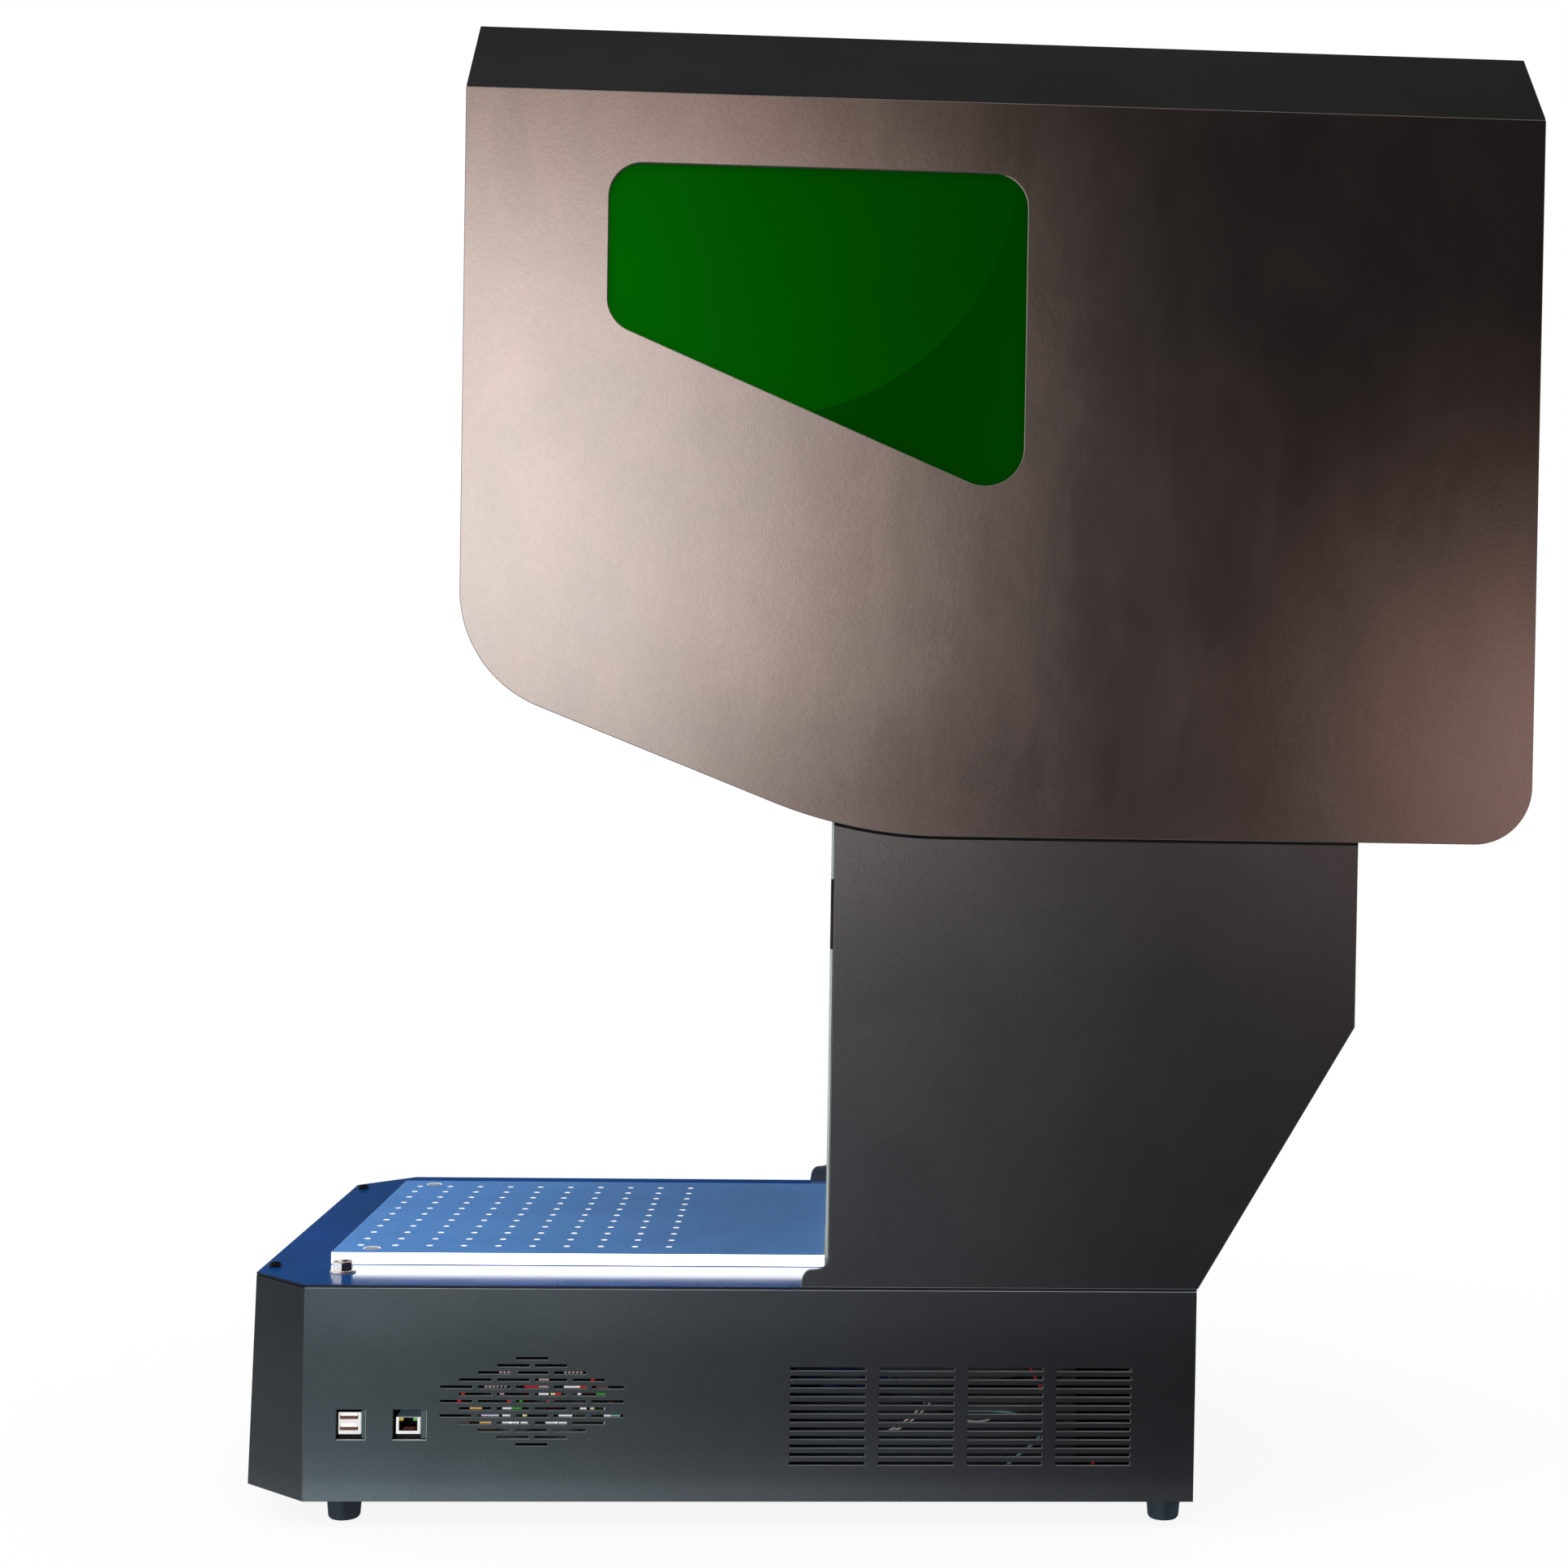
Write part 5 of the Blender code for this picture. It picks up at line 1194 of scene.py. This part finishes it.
def studio():
    w = bpy.data.worlds.new("studio")
    bpy.context.scene.world = w
    w.use_nodes = True
    t = Tree(w.node_tree)
    d = t.node("ShaderNodeTexCoord", None, None, 0)
    xyz = t.node("ShaderNodeSeparateXYZ", None, {0: d}, None)
    x, y, z = xyz.outputs
    az = t.m("MULTIPLY", t.m("ARCTAN2", y, t.m("ABSOLUTE", x)), 57.2958)
    el = t.m("MULTIPLY", t.m("ARCSINE", z), 57.2958)
    neg = t.remap(x, 0.08, -0.08, 0.0, 1.0)
    far = t.ramp(t.remap(t.m("ABSOLUTE", az), 0, 32, 0, 1, False), [(0.0, 0.012), (0.24, 0.018), (0.34, 0.035), (0.45, 0.05), (1.0, 0.55)])
    side = t.m("ADD", 1.0, t.m("MULTIPLY", neg, t.m("SUBTRACT", far, 1.0)))

    def curve(v, a, b, stops, interp="LINEAR"):
        """A scalar curve through (value, level) stops between a and b."""
        return t.ramp(t.remap(v, a, b, 0, 1, False), [((p - a) / (b - a), c) for p, c in stops], interp)

    # warm soft box to the front, its rear edge fading across the machine's side
    key = curve(az, -12, 13, [(-12, 1.13), (-7.5, 1.13), (-6.0, 1.06), (-2.8, 0.69), (1.0, 0.20), (4.9, 0.016), (8.6, 0.0), (13, 0.0)])
    key = t.m("MULTIPLY", key, t.remap(az, -80, -45, 0.28, 1.0))
    key = t.m("MULTIPLY", key, curve(el, -4, 30, [(-4, 0.40), (-1.2, 0.59), (-0.1, 0.76), (1.1, 0.92), (2.6, 1.02), (6.0, 1.03), (8.0, 1.0), (9.8, 0.96), (11.6, 0.86), (13.8, 0.50), (15.0, 0.34), (20, 0.13), (30, 0.04)]))
    above = t.remap(el, -7, -1.5, 0.0, 1.0)
    key = t.m("MULTIPLY", key, above)
    warmth = t.ramp(t.remap(az, -10, 8, 0, 1, False), [(0.0, (1.0, 1.03, 1.045)), (0.22, (1.0, 1.02, 1.03)), (0.45, (1.0, 0.93, 0.91)),
                                                       (0.65, (1.0, 0.87, 0.81)), (1.0, (1.0, 0.98, 1.0))])
    amber = t.ramp(t.remap(el, 11.0, 16.0, 0, 1, False), [(0.0, (1.0, 1.0, 1.0)), (0.55, (1.0, 0.885, 0.82)), (1.0, (1.0, 0.82, 0.73))])
    # warm glow low behind
    g = t.m("MULTIPLY", t.remap(t.m("ABSOLUTE", t.m("SUBTRACT", az, 19.0)), 0.0, 11.5, 1.05, 0.0),
            t.remap(t.m("ABSOLUTE", t.m("ADD", el, 0.3)), 0.0, 8.5, 1.0, 0.0))
    band = t.m("MULTIPLY", t.m("MULTIPLY", t.remap(el, -1.3, -2.6, 0.0, 1.0), t.remap(el, -6.8, -3.2, 0.0, 1.0)),
               curve(az, -12, 16, [(-12, 0.05), (-6, 0.2), (-1, 0.33), (1.5, 0.36), (3.4, 0.24), (5.2, 0.14), (7.1, 0.10), (12, 0.12), (16, 0.05)]))
    # cool floor below
    low = curve(az, -14, 12, [(-14, 0.37), (-10.7, 0.43), (-8, 0.31), (-4.3, 0.20), (-1.4, 0.18), (2.3, 0.12), (5.2, 0.088), (8, 0.062), (12, 0.052)])
    low = t.m("MULTIPLY", low, t.m("MULTIPLY", t.remap(el, -5, -11.5, 1.4, 1.0), t.m("SUBTRACT", 1.0, above)))
    low = t.m("MULTIPLY", low, t.remap(az, -75, -35, 0.55, 1.0))
    cooler = t.ramp(t.remap(az, -12, 9, 0, 1, False), [(0.0, (0.82, 1.07, 1.15)), (0.4, (0.90, 1.02, 1.12)), (1.0, (0.97, 1.0, 1.10))])
    # wide soft card behind and one in front
    rear = t.m("MULTIPLY", t.remap(az, 28, 55, 0.0, 0.40), t.remap(t.m("ABSOLUTE", t.m("SUBTRACT", el, 8.0)), 4.0, 34.0, 1.0, 0.0))
    front = t.m("MULTIPLY", t.remap(az, -86, -72, 1.0, 0.0), t.m("MULTIPLY", t.remap(x, -0.22, 0.2, 0.12, 0.8), t.remap(el, -9, -2, 0.2, 1.0)))
    up = t.remap(el, 40, 75, 0.0, 0.11)

    def lit(v, c):
        return t.scaled(c, v)

    def plus(*cs):
        s = cs[0]
        for c in cs[1:]:
            s = t.node("ShaderNodeVectorMath", {"operation": "ADD"}, {0: s, 1: c})
        return s

    warm = t.node("ShaderNodeVectorMath", {"operation": "MULTIPLY"}, {0: lit(t.m("MULTIPLY", key, side), warmth), 1: amber})
    glow = lit(t.m("MULTIPLY", g, t.m("MULTIPLY", side, 0.42)), (1.0, 0.72, 0.65))
    cool = lit(t.m("MULTIPLY", low, side), cooler)
    total = plus(warm, glow, cool, lit(t.m("MULTIPLY", band, side), (1.0, 0.82, 0.80)), lit(rear, (0.95, 0.93, 0.92)),
                 lit(front, (0.98, 0.96, 0.95)), lit(up, (1, 1, 1.05)), lit(0.005, (1, 1, 1)))
    lp = t.node("ShaderNodeLightPath", None, None, None)
    g_bg = t.node("ShaderNodeBackground", None, {"Color": total, "Strength": 1.0})
    d_bg = t.node("ShaderNodeBackground", None, {"Color": (1, 1, 1, 1), "Strength": 0.82})
    c_bg = t.node("ShaderNodeBackground", None, {"Color": (1, 1, 1, 1), "Strength": 1.0})
    a = t.node("ShaderNodeMixShader", None, {0: lp.outputs["Is Glossy Ray"], 1: d_bg, 2: g_bg})
    b = t.node("ShaderNodeMixShader", None, {0: lp.outputs["Is Camera Ray"], 1: a, 2: c_bg})
    o = t.node("ShaderNodeOutputWorld", None, None, None)
    t.nt.links.new(b, o.inputs["Surface"])

    def area(name, loc, target, size, power, colour=(1, 1, 1)):
        l = bpy.data.lights.new(name, "AREA")
        l.shape = "DISK"
        l.size = size
        l.energy = power
        l.color = colour
        ob = bpy.data.objects.new(name, l)
        bpy.context.scene.collection.objects.link(ob)
        ob.location = loc
        ob.rotation_euler = (Vector(target) - Vector(loc)).to_track_quat("-Z", "Y").to_euler()
        ob.visible_glossy = False
        ob.visible_camera = False

    area("soft_front", (1.5, -2.2, 2.4), (0, 0, 0.4), 1.6, 26)
    area("soft_top", (0.3, 0.4, 3.0), (0, 0, 0.4), 2.2, 16)


studio()

cam = bpy.data.cameras.new("camera")
cam_ob = bpy.data.objects.new("camera", cam)
bpy.context.scene.collection.objects.link(cam_ob)
right = (0.05466445, 0.99836326, 0.01681086)
up = (-0.01817438, -0.0158384, 0.99970938)
back = (0.99833937, -0.05495409, 0.01727884)
loc = (1.55671, -0.015597, 0.432554)
cam_ob.matrix_world = Matrix([(right[i], up[i], back[i], loc[i]) for i in range(3)] + [(0, 0, 0, 1)])
cam.sensor_width = 36.0
cam.lens = 56.450
cam.shift_x = -0.12664
cam.shift_y = 0.01428
cam.clip_start = 0.02
cam.clip_end = 60
bpy.context.scene.camera = cam_ob
bpy.context.scene.view_settings.view_transform = "Standard"
bpy.context.scene.view_settings.look = "None"
